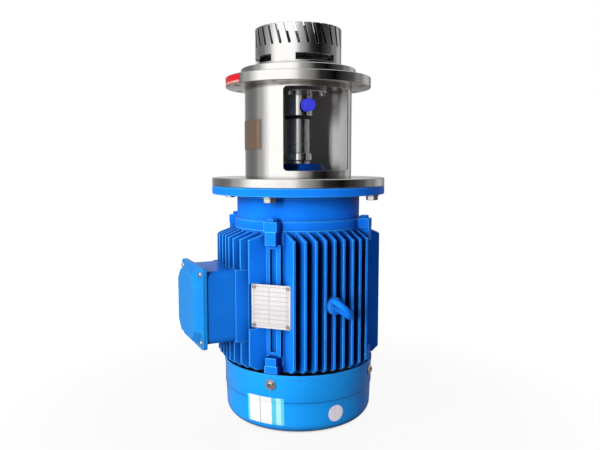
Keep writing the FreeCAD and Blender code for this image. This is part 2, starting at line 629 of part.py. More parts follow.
def lifting_eyebolt():
    """Drawn standing on its seat, then laid over to -Y and turned about its own axis."""
    body = new_body("lifting_eyebolt")
    turned(body, [[
        ("0", "-eye_thread_length"), ("eye_thread_radius", "-eye_thread_length"),
        ("eye_thread_radius", "0"),
        ("eye_boss_radius - 0.5", "0"), ("eye_boss_radius - 0.5", "eye_foot_thick"),
        ("eye_bar_radius + 2", "eye_neck_height"), ("0", "eye_neck_height"),
    ]])
    ring = body.newObject("PartDesign::AdditiveTorus", "eye_ring")
    ring.AttachmentSupport = [(origin(body, "XZ_Plane"), "")]
    ring.MapMode = "FlatFace"
    ring.setExpression("Radius1", full("eye_ring_radius"))
    ring.setExpression("Radius2", full("eye_bar_radius"))
    ring.setExpression("AttachmentOffset.Base.y", full("eye_ring_height"))
    settle(body, ring)
    lean = Rotation(Vector(0, 1, 0), number("eye_turn")).multiply(Rotation(Vector(1, 0, 0), 90))
    body.Placement = Placement(Vector(), lean)
    body.setExpression("Placement.Base.y", full("-eye_boss_reach"))
    body.setExpression("Placement.Base.z", full("eye_height"))


def electric_parts():
    """The wound stator and the caged rotor, as plain rings."""
    turned(new_body("stator_core"), [rectangle("stator_bore", "core_foot", "frame_bore", "z_core_top")])
    rings = []
    for foot, sign in (("core_foot", "-"), ("z_core_top", "+")):
        far = f"{foot} {sign} winding_length"
        near = f"{foot} {sign} (winding_length - 6)"
        rings.append([("winding_inner", foot), ("winding_outer", foot), ("winding_outer", near),
                      ("winding_outer - 6", far), ("winding_inner + 6", far), ("winding_inner", near)])
    turned(new_body("stator_windings"), rings)
    core = rectangle("core_seat_radius", "core_foot", "rotor_core_radius", "z_core_top")
    turned(new_body("rotor_core"), [core])
    ends = [("core_foot - end_ring_length", "core_foot"), ("z_core_top", "z_core_top + end_ring_length")]
    turned(new_body("rotor_end_rings"),
           [rectangle("end_ring_inner", foot, "rotor_core_radius - 1", top) for foot, top in ends])


def motor_shaft():
    body = new_body("motor_shaft")
    turned(body, [[
        ("0", "shaft_foot"), ("fan_seat_radius - 1", "shaft_foot"), ("fan_seat_radius", "shaft_foot + 1"),
        ("fan_seat_radius", "fan_foot - 1.7"), ("fan_seat_radius - 1.3", "fan_foot - 1.7"),
        ("fan_seat_radius - 1.3", "fan_foot"), ("fan_seat_radius", "fan_foot"),
        ("fan_seat_radius", "fan_foot + fan_length"), ("bearing_bore", "fan_foot + fan_length + 1"),
        ("bearing_bore", "z_fan_bearing + bearing_width"),
        ("shoulder_radius", "z_fan_bearing + bearing_width"),
        ("shoulder_radius", "core_foot - 8"), ("core_seat_radius", "core_foot - 6"),
        ("core_seat_radius", "z_core_top + 6"), ("shoulder_radius", "z_core_top + 8"),
        ("shoulder_radius", "z_drive_bearing"), ("bearing_bore", "z_drive_bearing"),
        ("bearing_bore", "z_drive_bearing + bearing_width"),
        ("drive_radius", "z_drive_bearing + bearing_width + 1"), ("drive_radius", "z_rotor"),
        ("rotor_seat_radius", "z_rotor"), ("rotor_seat_radius", "z_rotor_top - 1"),
        ("nut_thread_radius", "z_rotor_top - 1"), ("nut_thread_radius", "z_nut_top - 3"),
        ("nut_thread_radius - 1.5", "z_nut_top - 1.5"), ("0", "z_nut_top - 1.5"),
    ]])
    keyway(body, "fan_seat_radius", "fan_foot + 6", "fan_key_length", "fan_key_width", "fan_key_depth")
    keyway(body, "rotor_seat_radius", "z_rotor + 4", "rotor_key_length", "rotor_key_width",
           "rotor_key_depth")


def keyway(body, seat, foot, length, width, depth):
    slot = rectangle(f"-{width} / 2", foot, f"{width} / 2", f"{foot} + {length}")
    carved(body, draw(body, "XZ_Plane", [slot], lift=seat + " + 1"), depth + " + 1")


def drive_end_shield():
    body = new_body("drive_end_shield")
    register = "z_frame_top - shield_register"
    inner = "frame_bore - shield_wall + 1"
    seat = "z_drive_bearing + bearing_width"
    seal = "z_hub_top - lip_seal_depth"
    face = "z_flange + spigot_height"
    turned(body, [[
        (inner, register), ("frame_bore", register), ("frame_bore", "z_frame_top"),
        ("frame_radius", "z_frame_top"), ("frame_radius", "z_rim_top - 1.5"),
        ("frame_radius - 1.5", "z_rim_top"),
        ("neck_radius", "z_rim_top"), ("neck_radius", "z_flange_back - 5"),
        ("neck_radius + 5", "z_flange_back"),
        ("flange_radius - edge_break", "z_flange_back"), ("flange_radius", "z_flange_back + edge_break"),
        ("flange_radius", "z_flange - edge_break"), ("flange_radius - edge_break", "z_flange"),
        ("spigot_radius", "z_flange"), ("spigot_radius", face), ("hub_radius + 5", face),
        ("hub_radius", face + " + 5"), ("hub_radius", seat + " - 2"), ("hub_top_radius", "z_hub_top"),
        ("lip_seal_radius", "z_hub_top"), ("lip_seal_radius", seal), ("bearing_bore + 2", seal),
        ("bearing_bore + 2", seat), ("bearing_outer", seat), ("bearing_outer", "z_flange - flange_thick"),
        ("neck_radius - shield_wall", "z_flange - flange_thick"),
        ("neck_radius - shield_wall", "z_rim_top"),
        (inner, "z_rim_top - 4"),
    ]])
    ear = draw(body, "XY_Plane", [block("ear_width", "lug_reach", "frame_bore - 1")], lift="z_frame_top")
    ears = grown(body, ear, "rim_length")
    hole = draw(body, "XY_Plane", [on_circle("shield_bolt_circle", "shield_bolt_radius + hole_gap")],
                lift="z_rim_top")
    holes = carved(body, hole, "rim_length + overrun")
    bolt = draw(body, "XY_Plane", [on_circle("flange_bolt_circle", "flange_bolt_hole")], lift="z_flange")
    bolts = carved(body, bolt, "flange_thick + overrun")
    around(body, [ears, holes, bolts], 4)
    turn_corner(body)


def bearing(end, foot):
    """A single-row ball bearing with its races ground round the ball circle; the balls are apart."""
    middle = f"{foot} + bearing_width / 2"
    groove = ("circle", "ball_circle", middle, "race_groove")
    outer = new_body(end + "_bearing_outer")
    top = f"{foot} + bearing_width"
    turned(outer, [rectangle("outer_land", foot, "bearing_outer", top)])
    turned(outer, [groove], cut=True)
    inner = new_body(end + "_bearing_inner")
    turned(inner, [rectangle("bearing_bore", foot, "inner_land", top)])
    turned(inner, [groove], cut=True)
    cage = new_body(end + "_bearing_cage")
    turned(cage, [rectangle("ball_circle - cage_half_width", f"{middle} - cage_half_height",
                            "ball_circle + cage_half_width", f"{middle} + cage_half_height")])
    pocket = draw(cage, "YZ_Plane", [("circle", "0", middle, "cage_pocket")], lift="ball_circle + 5")
    around(cage, [carved(cage, pocket, "10")], "ball_count")


def bearing_balls():
    body = new_body("bearing_balls")
    balls = []
    for foot in ("z_fan_bearing", "z_drive_bearing"):
        ball = body.newObject("PartDesign::AdditiveSphere", "ball")
        ball.AttachmentSupport = [(origin(body, "XY_Plane"), "")]
        ball.MapMode = "FlatFace"
        ball.setExpression("Radius", full("ball_radius"))
        ball.setExpression("AttachmentOffset.Base.x", full("ball_circle"))
        ball.setExpression("AttachmentOffset.Base.z", full(f"{foot} + bearing_width / 2"))
        balls.append(settle(body, ball))
    around(body, balls, "ball_count")


def small_rings():
    spring = rectangle("outer_land", "z_wave_seat + 0.1", "bearing_outer - 0.3", "z_fan_bearing - 0.1")
    turned(new_body("wave_spring"), [spring])
    lip = "drive_radius + 0.2"
    turned(new_body("lip_seal"), [[
        (lip, "z_hub_top - lip_seal_depth"), ("lip_seal_radius", "z_hub_top - lip_seal_depth"),
        ("lip_seal_radius", "z_hub_top - 1"), ("lip_seal_radius - 2", "z_hub_top - 1"),
        ("lip_seal_radius - 5", "z_hub_top - 4"), ("drive_radius + 2", "z_hub_top - 2"),
        (lip, "z_hub_top - 3"),
    ]])


def box_side(body, shapes, foot, length, cut=False, inward=False, draft=0.0):
    """Pads or pockets an outline on a plane square to X, foot away from the shaft towards -X."""
    sketch = draw(body, "YZ_Plane", shapes, lift=f"-({foot})")
    if cut:
        return carved(body, sketch, length, reverse=inward)
    return grown(body, sketch, length, reverse=not inward, draft=draft)


def terminal_box():
    body = new_body("terminal_box")
    low = "box_centre_height - box_half_height"
    high = "box_centre_height + box_half_height"
    floor = "box_back + box_wall + overrun"
    through = "box_wall + 2 * overrun"
    box_side(body, [rectangle("-box_half_width", low, "box_half_width", high)], "box_back", "box_depth")
    softened(body, "Fillet", "box_corner", lambda edge: along(edge, Vector(1, 0, 0)))
    box_side(body, [box_inside()], "box_face", "box_depth - box_wall", cut=True, inward=True)
    holes = spots("box_screw_across", "box_screw_up", "box_screw_radius + hole_gap")
    holes.append(("circle", "0", "wire_hole_height", "wire_hole_radius"))
    holes.append(("circle", "0", "box_centre_height + earth_height", "earth_radius + 0.3"))
    box_side(body, holes, floor, through, cut=True, inward=True)
    box_side(body, spots("lid_screw_across", "lid_screw_up", "lid_screw_radius + tap_gap"), "box_face",
             "lid_screw_tap", cut=True, inward=True)
    middle = "-(box_back + box_face) / 2"
    entries = [("circle", middle, f"entry_height + {side} * entry_spacing / 2", "entry_radius")
               for side in (-1, 1)]
    sketch = draw(body, "XZ_Plane", entries, lift="-box_half_width - overrun")
    carved(body, sketch, "2 * box_wall + 3", reverse=True)


def box_inside():
    """The outline of the room in the terminal box, with its corners cut off for the lid's screws."""
    return cut_rectangle("(box_half_width - box_wall)", "(box_half_height - box_wall)", "box_inner_cut",
                         "box_centre_height")


def box_gasket():
    body = new_body("box_gasket")
    outer = cut_rectangle("(box_half_width - 0.5)", "(box_half_height - 0.5)", "7", "box_centre_height")
    holes = spots("lid_screw_across", "lid_screw_up", "lid_screw_radius + 0.3")
    box_side(body, [outer, box_inside()] + holes, "box_face", "gasket_thick")


def box_lid():
    body = new_body("box_lid")
    low = "box_centre_height - lid_half_height"
    high = "box_centre_height + lid_half_height"
    box_side(body, [rectangle("-lid_half_width", low, "lid_half_width", high)], "lid_back", "lid_thick")
    softened(body, "Fillet", "lid_corner", lambda edge: along(edge, Vector(1, 0, 0)))
    panel = cut_rectangle("lid_panel_half_width", "lid_panel_half_height", "lid_panel_cut",
                          "box_centre_height")
    box_side(body, [panel], "lid_face", "lid_panel_rise", draft=-number("lid_panel_draft"))
    hollow = cut_rectangle("(lid_panel_half_width - lid_rim)", "(lid_panel_half_height - lid_rim)",
                           "lid_panel_cut - 6", "box_centre_height")
    box_side(body, [hollow], "lid_back", "lid_thick + lid_panel_rise - lid_skin", cut=True)
    box_side(body, spots("lid_screw_across", "lid_screw_up", "lid_screw_radius + 0.3"), "lid_back - 1",
             "lid_thick + 2", cut=True)


def lid_screws():
    body = new_body("lid_screws")
    box_side(body, spots("lid_screw_across", "lid_screw_up", "lid_screw_radius"), "box_face - 10",
             "lid_thick + gasket_thick + 10")
    box_side(body, spots("lid_screw_across", "lid_screw_up", "lid_screw_head"), "lid_face", "3.5")
    sockets = [hexagon(f"{side} * lid_screw_across", f"box_centre_height + {end} * lid_screw_up", "4")
               for side in (-1, 1) for end in (-1, 1)]
    box_side(body, sockets, "lid_face + 3.5", "2", cut=True, inward=True)


def box_screws():
    body = new_body("box_screws")
    inner = "box_back + box_wall"
    box_side(body, spots("box_screw_across", "box_screw_up", "box_screw_radius"), inner + " - 15", "15")
    box_side(body, spots("box_screw_across", "box_screw_up", "box_screw_radius + 2"), inner, "4")


def terminal_block():
    """The terminal board with its six studs, and the links and nuts on them."""
    floor = "box_back + box_wall"
    face = floor + " + board_thick"
    board = new_body("terminal_board")
    outline = rectangle("-board_width / 2", "box_centre_height - board_height / 2",
                        "board_width / 2", "box_centre_height + board_height / 2")
    box_side(board, [outline], floor, "board_thick")
    rows = [f"box_centre_height + {row} * stud_up" for row in (-1, 0, 1)]
    places = [(f"{side} * stud_across", row) for side in (-1, 1) for row in rows]
    pins = [("circle", *place, "stud_radius") for place in places]
    box_side(new_body("terminal_studs"), pins, face, "stud_length")
    strips = [rectangle("-stud_across - 5", row + " - 4", "stud_across + 5", row + " + 4") for row in rows]
    strips += [("circle", *place, "stud_radius + 0.1") for place in places]
    box_side(new_body("terminal_links"), strips, face, "link_thick")
    nuts = [hexagon(*place, "stud_nut") for place in places]
    nuts += [("circle", *place, "stud_radius + slip_gap") for place in places]
    box_side(new_body("terminal_nuts"), nuts, face + " + link_thick", "stud_nut_height")


def earth_screw():
    """A pan-headed screw in the box's floor for the earth wire."""
    body = new_body("earth_screw")
    place = ("0", "box_centre_height + earth_height")
    floor = "box_back + box_wall"
    box_side(body, [("circle", *place, "earth_radius")], floor + " - 10", "10")
    box_side(body, [("circle", *place, "earth_radius * 2")], floor, "4")


def entry_piece(label, side, loops, shapes, hex_length):
    """A turned fitting with hexagon flats, screwed into a cable entry from +Y."""
    body = new_body(label)
    turned(body, loops)
    grown(body, draw(body, "XY_Plane", shapes), hex_length)
    body.Placement = Placement(Vector(), Rotation(Vector(1, 0, 0), -90))
    body.setExpression("Placement.Base.x", full("-(box_back + box_face) / 2"))
    body.setExpression("Placement.Base.y", full("box_half_width"))
    body.setExpression("Placement.Base.z", full(f"entry_height + {side} * entry_spacing / 2"))


def cable_entries():
    thread = "entry_radius - tap_gap"
    collar = "entry_radius + 1"
    flats = hexagon("0", "0", "entry_flats", start=0)
    entry_piece("cable_gland", -1, [[
        ("gland_bore_radius", "-box_wall - 3"), (thread, "-box_wall - 3"), (thread, "0"), (collar, "0"),
        (collar, "gland_collar_length"), ("entry_radius - 1", "gland_length"),
        ("gland_bore_radius", "gland_length"),
    ]], [flats, ("circle", "0", "0", "gland_bore_radius")], "gland_hex_length")
    entry_piece("blanking_plug", 1, [[
        ("0", "-box_wall - 2"), (thread, "-box_wall - 2"), (thread, "0"), (collar, "0"),
        (collar, "plug_collar_length"), ("entry_radius - 1", "plug_length"), ("0", "plug_length"),
    ]], [flats], "plug_hex_length")


def flange_fasteners():
    under = "z_flange_back - washer_thick"
    shank = "washer_thick + flange_thick + tapped_depth - overrun"
    hex_bolts("flange_bolts", "flange_bolt_circle", under, False, "flange_bolt_head",
              "flange_bolt_head_height", "flange_bolt_radius", shank)
    washers = new_body("flange_washers")
    rings = [on_circle("flange_bolt_circle", "washer_radius"),
             on_circle("flange_bolt_circle", "flange_bolt_radius + hole_gap")]
    around(washers, [grown(washers, draw(washers, "XY_Plane", rings, lift=under), "washer_thick")], 4)
    turn_corner(washers)


def lantern_base():
    body = new_body("lantern_base")
    recess = "z_flange + spigot_height + clearance"
    turned(body, [[
        ("base_bore", recess), ("spigot_radius + clearance", recess),
        ("spigot_radius + clearance", "z_flange"),
        ("flange_radius - edge_break", "z_flange"), ("flange_radius", "z_flange + edge_break"),
        ("flange_radius", "z_tube_foot - edge_break"), ("flange_radius - edge_break", "z_tube_foot"),
        ("base_bore", "z_tube_foot"),
    ]])
    tap = draw(body, "XY_Plane", [on_circle("flange_bolt_circle", "tapped_hole")], lift="z_flange")
    around(body, [carved(body, tap, "tapped_depth", reverse=True)], 4)
    turn_corner(body)


def lantern_tube():
    body = new_body("lantern_tube")
    turned(body, [rectangle("tube_radius - tube_wall", "z_tube_foot", "tube_radius", "z_tube_top")])
    window = rectangle("-window_half_width", "z_tube_foot + window_foot",
                       "window_half_width", "z_tube_foot + window_foot + window_height")
    carved(body, draw(body, "XZ_Plane", [window]), "tube_radius + 5", reverse=True)
    softened(body, "Fillet", "window_corner", lambda edge: along(edge, Vector(0, 1, 0)))


def tank_flange():
    body = new_body("tank_flange")
    throat = "z_spigot_top - throat_thick"
    turned(body, [[
        ("seal_chamber", "z_tube_top"), ("tank_flange_radius - fine_break", "z_tube_top"),
        ("tank_flange_radius", "z_tube_top + fine_break"),
        ("tank_flange_radius", "z_tank_face - fine_break"),
        ("tank_flange_radius - fine_break", "z_tank_face"), ("tank_spigot_radius", "z_tank_face"),
        ("tank_spigot_radius", "z_spigot_top - edge_break"),
        ("tank_spigot_radius - edge_break", "z_spigot_top"),
        ("throat_radius", "z_spigot_top"), ("throat_radius", throat), ("seal_chamber", throat),
    ]])
    hole = draw(body, "XY_Plane", [("circle", "tank_bolt_circle", "0", "tank_bolt_hole")],
                lift="z_tank_face")
    around(body, [carved(body, hole, "tank_flange_thick + overrun")], "tank_bolt_count")
    taps = draw(body, "XY_Plane", [on_circle("gland_screw_circle", "gland_screw_radius + tap_gap")],
                lift="z_tube_top", turn=CORNER)
    head_taps = draw(body, "XY_Plane", [on_circle("head_screw_circle", "head_screw_radius + tap_gap")],
                     lift="z_spigot_top", turn=CORNER)
    around(body, [carved(body, taps, "13", reverse=True), carved(body, head_taps, "13")], 4)


def shaft_seal():
    seal_housing()
    socket_screws("seal_housing_screws", "gland_screw_circle", "z_gland_foot", False, "gland_screw_head",
                  "gland_screw_head_height", "gland_screw_radius", "gland_thick + gland_screw_reach", 5)
    turned(new_body("seal_seat"), [rectangle("drive_radius + 1", "z_seat", "seat_radius - tap_gap",
                                             "z_face - running_gap / 3")])
    turned(new_body("seal_face"), [[
        ("on_shaft", "z_face"), ("face_radius - face_nose", "z_face"),
        ("face_radius - face_nose", "z_face + face_nose_height"),
        ("face_radius", "z_face + face_nose_height"),
        ("face_radius", "z_spring"), ("on_shaft", "z_spring"),
    ]])
    seal_bellows()
    drive_collar = rectangle("on_shaft", "z_collar", "drive_collar_radius", "z_collar + drive_collar_thick")
    turned(new_body("seal_collar"), [drive_collar])
    top = "z_v_ring + v_ring_thick"
    turned(new_body("v_ring"), [[
        ("on_shaft", "z_v_ring"), ("v_ring_radius - 2", "z_v_ring"), ("v_ring_radius", top + " - 1"),
        ("v_ring_radius", top), ("on_shaft", top),
    ]])
    shaft_collar()


def seal_housing():
    """A flanged sleeve under the tank flange, with the side port of the flush nipple."""
    body = new_body("seal_housing")
    turned(body, [[
        ("gland_bore", "z_sleeve_foot"), ("gland_sleeve_radius", "z_sleeve_foot"),
        ("gland_sleeve_radius", "z_gland_foot"), ("gland_radius - edge_break", "z_gland_foot"),
        ("gland_radius", "z_gland_foot + edge_break"), ("gland_radius", "z_tube_top"),
        ("seat_radius", "z_tube_top"), ("seat_radius", "z_seat"), ("gland_bore", "z_seat"),
    ]])
    hole = draw(body, "XY_Plane", [on_circle("gland_screw_circle", "gland_screw_radius + 0.3")],
                lift="z_tube_top", turn=CORNER)
    around(body, [carved(body, hole, "gland_thick + overrun")], 4)
    port = draw(body, "XZ_Plane", [("circle", "0", "nipple_height", "nipple_radius + tap_gap")],
                lift="gland_bore - 2")
    carved(body, port, "12", reverse=True)


def shaft_collar():
    """A clamping ring on the shaft above the hub, with the hole of its grub screw."""
    body = new_body("shaft_collar")
    top = "flinger_height + flinger_thick"
    turned(body, [[
        ("on_shaft", "flinger_height"), ("flinger_radius - edge_break", "flinger_height"),
        ("flinger_radius", "flinger_height + edge_break"), ("flinger_radius", top + " - edge_break"),
        ("flinger_radius - edge_break", top), ("on_shaft", top),
    ]])
    screw = draw(body, "XZ_Plane", [("circle", "0", "flinger_height + flinger_thick / 2", "2.5")],
                 lift="drive_radius")
    carved(body, screw, "8", reverse=True)


def seal_bellows():
    """Thin convolutions between the turning seal face and its drive collar."""
    body = new_body("seal_bellows")
    steps = 2 * int(number("bellows_folds")) + 1
    inner = []
    outer = []
    for i in range(steps):
        height = f"z_spring + spring_height * {i} / {steps - 1}"
        radius = "bellows_outer" if i % 2 else "bellows_inner"
        inner.append((radius, height))
        outer.append((radius + " + bellows_wall", height))
    turned(body, [inner + outer[::-1]])


def flush_port():
    """A side nipple on the seal housing, closed by a cap."""
    nipple = new_body("flush_nipple")
    root = "gland_bore + 1"
    tube = [("circle", "0", "nipple_height", size) for size in ("nipple_radius", "nipple_bore")]
    grown(nipple, draw(nipple, "XZ_Plane", tube, lift=root), f"nipple_reach - ({root})")
    cap = new_body("flush_cap")
    foot = "cap_face - cap_depth"
    grown(cap, draw(cap, "XZ_Plane", [("circle", "0", "nipple_height", "cap_radius")],
                    lift=foot), "cap_depth")
    hollow = draw(cap, "XZ_Plane", [("circle", "0", "nipple_height", "nipple_radius + 0.1")], lift=foot)
    carved(cap, hollow, f"nipple_reach - ({foot}) + 0.1", reverse=True)


def stator_head():
    body = new_body("stator_head")
    far = "head_radius + 5"
    turned(body, [[
        ("head_foot_inner", "z_spigot_top"), ("head_radius", "z_spigot_top"),
        ("head_radius", "z_top - 0.6"),
        ("head_radius - 0.6", "z_top"), ("head_inner", "z_top"), ("head_inner", "z_ports"),
        ("head_foot_inner", "z_ports"),
    ]])
    sketch = draw(body, "XZ_Plane", [rectangle("head_inner - 5", "z_ports", far, "z_band")])
    port = feature(body, "Groove", sketch)
    port.ReferenceAxis = (origin(body, "Z_Axis"), [""])
    port.Midplane = True
    port.setExpression("Angle", full("port_angle"))
    around(body, [settle(body, port)], "port_count")
    lean = "tan(slot_lean)"
    half = "slot_width / 2 / cos(slot_lean)"
    foot = "z_slots + slot_width / 2"
    rise = "slot_depth - slot_width / 2 + 3"
    top = f"{foot} + {rise}"
    slot = [("-" + half, foot), (half, foot), (f"{half} - ({rise}) * {lean}", top),
            (f"-({half}) - ({rise}) * {lean}", top)]
    sides = carved(body, draw(body, "XZ_Plane", [slot]), far, reverse=True)
    end = draw(body, "XZ_Plane", [("circle", "0", foot, "slot_width / 2")])
    around(body, [sides, carved(body, end, far, reverse=True)], "slot_count")
    screw = draw(body, "XY_Plane", [on_circle("head_screw_circle", "head_screw_radius + 0.3")],
                 lift="z_ports",
                 turn=CORNER)
    around(body, [carved(body, screw, "head_foot + overrun")], 4)


def mixing_rotor():
    """A hub with a web and straight blades set off from the shaft's axis."""
    body = new_body("mixing_rotor")
    bore = "rotor_seat_radius + slip_gap"
    web_top = "z_web + rotor_web_thick"
    turned(body, [[
        (bore, "z_rotor"), ("rotor_hub_radius", "z_rotor"), ("rotor_hub_radius + 3", "z_web"),
        ("rotor_web_radius", "z_web"), ("rotor_web_radius", web_top), ("rotor_hub_radius + 3", web_top),
        ("rotor_hub_radius", web_top + " + 3"), ("rotor_hub_radius", "z_rotor_top"), (bore, "z_rotor_top"),
    ]])
    near = "blade_offset - blade_thick / 2"
    far = "blade_offset + blade_thick / 2"
    outline = [("rotor_hub_radius - 12", near), (f"sqrt(rotor_radius ^ 2 - ({near}) ^ 2) - 0.4", near),
               (f"sqrt(rotor_radius ^ 2 - ({far}) ^ 2)", far), ("rotor_hub_radius - 12", far)]
    blade = draw(body, "XY_Plane", [outline], lift="z_blade")
    around(body, [grown(body, blade, "blade_height")], "blade_count")
    room = "z_rotor_top + 20"
    turned(body, [rectangle("0", "z_rotor - overrun", bore, room),
                  rectangle(bore, "z_rotor_top", "cap_nut_across / 2 + 4", room)], cut=True)
    slot = block("rotor_key_width", "rotor_seat_radius + 2.1", "rotor_seat_radius - 2")
    key = draw(body, "XY_Plane", [slot], lift="z_rotor_top")
    carved(body, key, "rotor_hub_length")


def cap_nut():
    body = new_body("rotor_cap_nut")
    shapes = [hexagon("0", "0", "cap_nut_across"), ("circle", "0", "0", "nut_thread_radius + tap_gap")]
    grown(body, draw(body, "XY_Plane", shapes, lift="z_rotor_top"), "cap_nut_height")
    half = "cap_nut_across / 2"
    turned(body, [[
        ("0", "z_nut_top"), (half + " - 0.5", "z_nut_top"),
        (half + " - 2", "z_nut_top + cap_nut_dome * 0.5"),
        (half + " - 6", "z_nut_top + cap_nut_dome * 0.85"), ("0", "z_nut_top + cap_nut_dome"),
    ]])


def lantern_plate():
    """A small blank plate on the lantern, rolled to the tube."""
    body = new_body("lantern_plate")
    foot = "z_tube_foot + small_plate_foot"
    back = "-tube_radius - small_plate_gap"
    outline = rectangle(back + " - small_plate_thick", foot, back, foot + " + small_plate_height")
    ring = feature(body, "Revolution", draw(body, "YZ_Plane", [outline]))
    ring.ReferenceAxis = (origin(body, "Z_Axis"), [""])
    ring.Midplane = True
    ring.setExpression("Angle", full("small_plate_angle"))
    settle(body, ring)
    body.Placement = Placement(Vector(), Rotation(Vector(0, 0, 1), -number("small_plate_place")))


def build():
    fill_sheet()
    fan_cowl()
    cowl_screws()
    cooling_fan()
    fan_circlip()
    shaft_key("fan_key", "fan_seat_radius", "fan_foot + 6", "fan_key_length", "fan_key_width",
              "fan_key_depth")
    fan_end_shield()
    hex_bolts("fan_shield_bolts", "shield_bolt_circle", "z_frame_foot + bolt_seat_thick", True,
              "shield_bolt_head", "shield_bolt_head_height", "shield_bolt_radius", "bolt_seat_thick + 10")
    motor_frame()
    hex_bolts("drive_shield_bolts", "shield_bolt_circle", "z_rim_top", True, "shield_bolt_head",
              "shield_bolt_head_height", "shield_bolt_radius", "shield_bolt_length")
    name_plate()
    plate_rivets()
    lifting_eyebolt()
    electric_parts()
    motor_shaft()
    drive_end_shield()
    bearing("fan", "z_fan_bearing")
    bearing("drive", "z_drive_bearing")
    bearing_balls()
    small_rings()
    terminal_box()
    box_gasket()
    box_lid()
    lid_screws()
    box_screws()
    terminal_block()
    earth_screw()
    cable_entries()
    flange_fasteners()
    lantern_base()
    lantern_tube()
    tank_flange()
    shaft_seal()
    flush_port()
    stator_head()
    socket_screws("head_screws", "head_screw_circle", "z_ports", True, "head_screw_head",
                  "head_screw_head_height", "head_screw_radius", "head_foot + 11", 4)
    mixing_rotor()
    shaft_key("rotor_key", "rotor_seat_radius", "z_rotor + 4", "rotor_key_length", "rotor_key_width",
              "rotor_key_depth")
    cap_nut()
    lantern_plate()


def check_and_write():
    doc.recompute()
    for thing in doc.Objects:
        if "Invalid" in thing.State or "Error" in thing.State:
            raise ValueError(f"{thing.Name} failed: {thing.State}")
    for node in nodes:
        if node.Shape.isNull() or not node.Shape.isValid():
            raise ValueError(f"{node.Label} has no sound shape")
    os.makedirs("parts", exist_ok=True)
    for node in nodes:
        node.Shape.exportStep(os.path.join("parts", node.Label + ".step"))
        print(f"{node.Label}: {len(node.Shape.Solids)} solids, {node.Shape.Volume / 1000:.1f} cm3")


build()
check_and_write()
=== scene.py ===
import math

import bmesh
import bpy
import numpy as np
from mathutils import Matrix, Vector


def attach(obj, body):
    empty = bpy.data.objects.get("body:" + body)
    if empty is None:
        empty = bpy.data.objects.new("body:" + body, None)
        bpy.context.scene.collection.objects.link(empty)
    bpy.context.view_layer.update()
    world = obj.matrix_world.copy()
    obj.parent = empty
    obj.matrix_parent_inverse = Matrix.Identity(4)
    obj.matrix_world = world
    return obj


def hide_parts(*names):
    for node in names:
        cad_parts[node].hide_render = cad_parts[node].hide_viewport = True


# A tank-bottom mixer stands on its fan cowl in a white studio. Metres, +Z up along the shaft,
# -Y towards the lantern's window, -X towards the terminal box.
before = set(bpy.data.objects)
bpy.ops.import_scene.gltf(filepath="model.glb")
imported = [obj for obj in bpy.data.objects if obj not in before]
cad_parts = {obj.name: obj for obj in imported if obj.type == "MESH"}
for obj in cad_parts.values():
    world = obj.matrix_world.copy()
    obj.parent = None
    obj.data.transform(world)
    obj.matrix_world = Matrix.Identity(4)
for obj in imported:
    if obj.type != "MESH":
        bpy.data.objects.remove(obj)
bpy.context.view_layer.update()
print("stage 1: frame loaded,", len(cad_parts), "nodes")


def addNode(tree, kind, at=(0, 0), **settings):
    node = tree.nodes.new(kind)
    node.location = at
    for key, value in settings.items():
        setattr(node, key, value)
    return node


def setInputs(node, **values):
    for name, value in values.items():
        node.inputs[name.replace("_", " ")].default_value = value


# A shader node group; inputs are plain numbers {name: value}, and outputs are {name: kind}
def newGroup(name, inputs, outputs):
    tree = bpy.data.node_groups.new(name, "ShaderNodeTree")
    for label, value in inputs.items():
        socket = tree.interface.new_socket(label, in_out="INPUT", socket_type="NodeSocketFloat")
        socket.default_value = value
    for label, kind in outputs.items():
        tree.interface.new_socket(label, in_out="OUTPUT", socket_type="NodeSocket" + kind)
    inward = addNode(tree, "NodeGroupInput", (-900, 0))
    outward = addNode(tree, "NodeGroupOutput", (900, 0))
    return tree, inward, outward


def useGroup(tree, group, at=(0, 0), **values):
    node = addNode(tree, "ShaderNodeGroup", at)
    node.node_tree = group
    setInputs(node, **values)
    return node


def mathNode(tree, operation, a, b=None, at=(0, 0), clamp=False):
    node = addNode(tree, "ShaderNodeMath", at, operation=operation, use_clamp=clamp)
    for index, value in enumerate((a, b)):
        if value is None:
            continue
        if isinstance(value, (int, float)):
            node.inputs[index].default_value = value
        else:
            tree.links.new(value, node.inputs[index])
    return node.outputs[0]


# A group's mask times a strength
def scaledMask(tree, node, strength, at, clamp=False):
    return mathNode(tree, "MULTIPLY", node.outputs["Mask"], strength, at, clamp)


def mixColour(tree, factor, first, second, at=(0, 0)):
    node = addNode(tree, "ShaderNodeMix", at, data_type="RGBA")
    for index, value in ((0, factor), (6, first), (7, second)):
        socket = node.inputs[index]
        if isinstance(value, (int, float)):
            socket.default_value = value
        elif isinstance(value, tuple):
            socket.default_value = value + (1.0,) if len(value) == 3 else value
        else:
            tree.links.new(value, socket)
    return node.outputs[2]


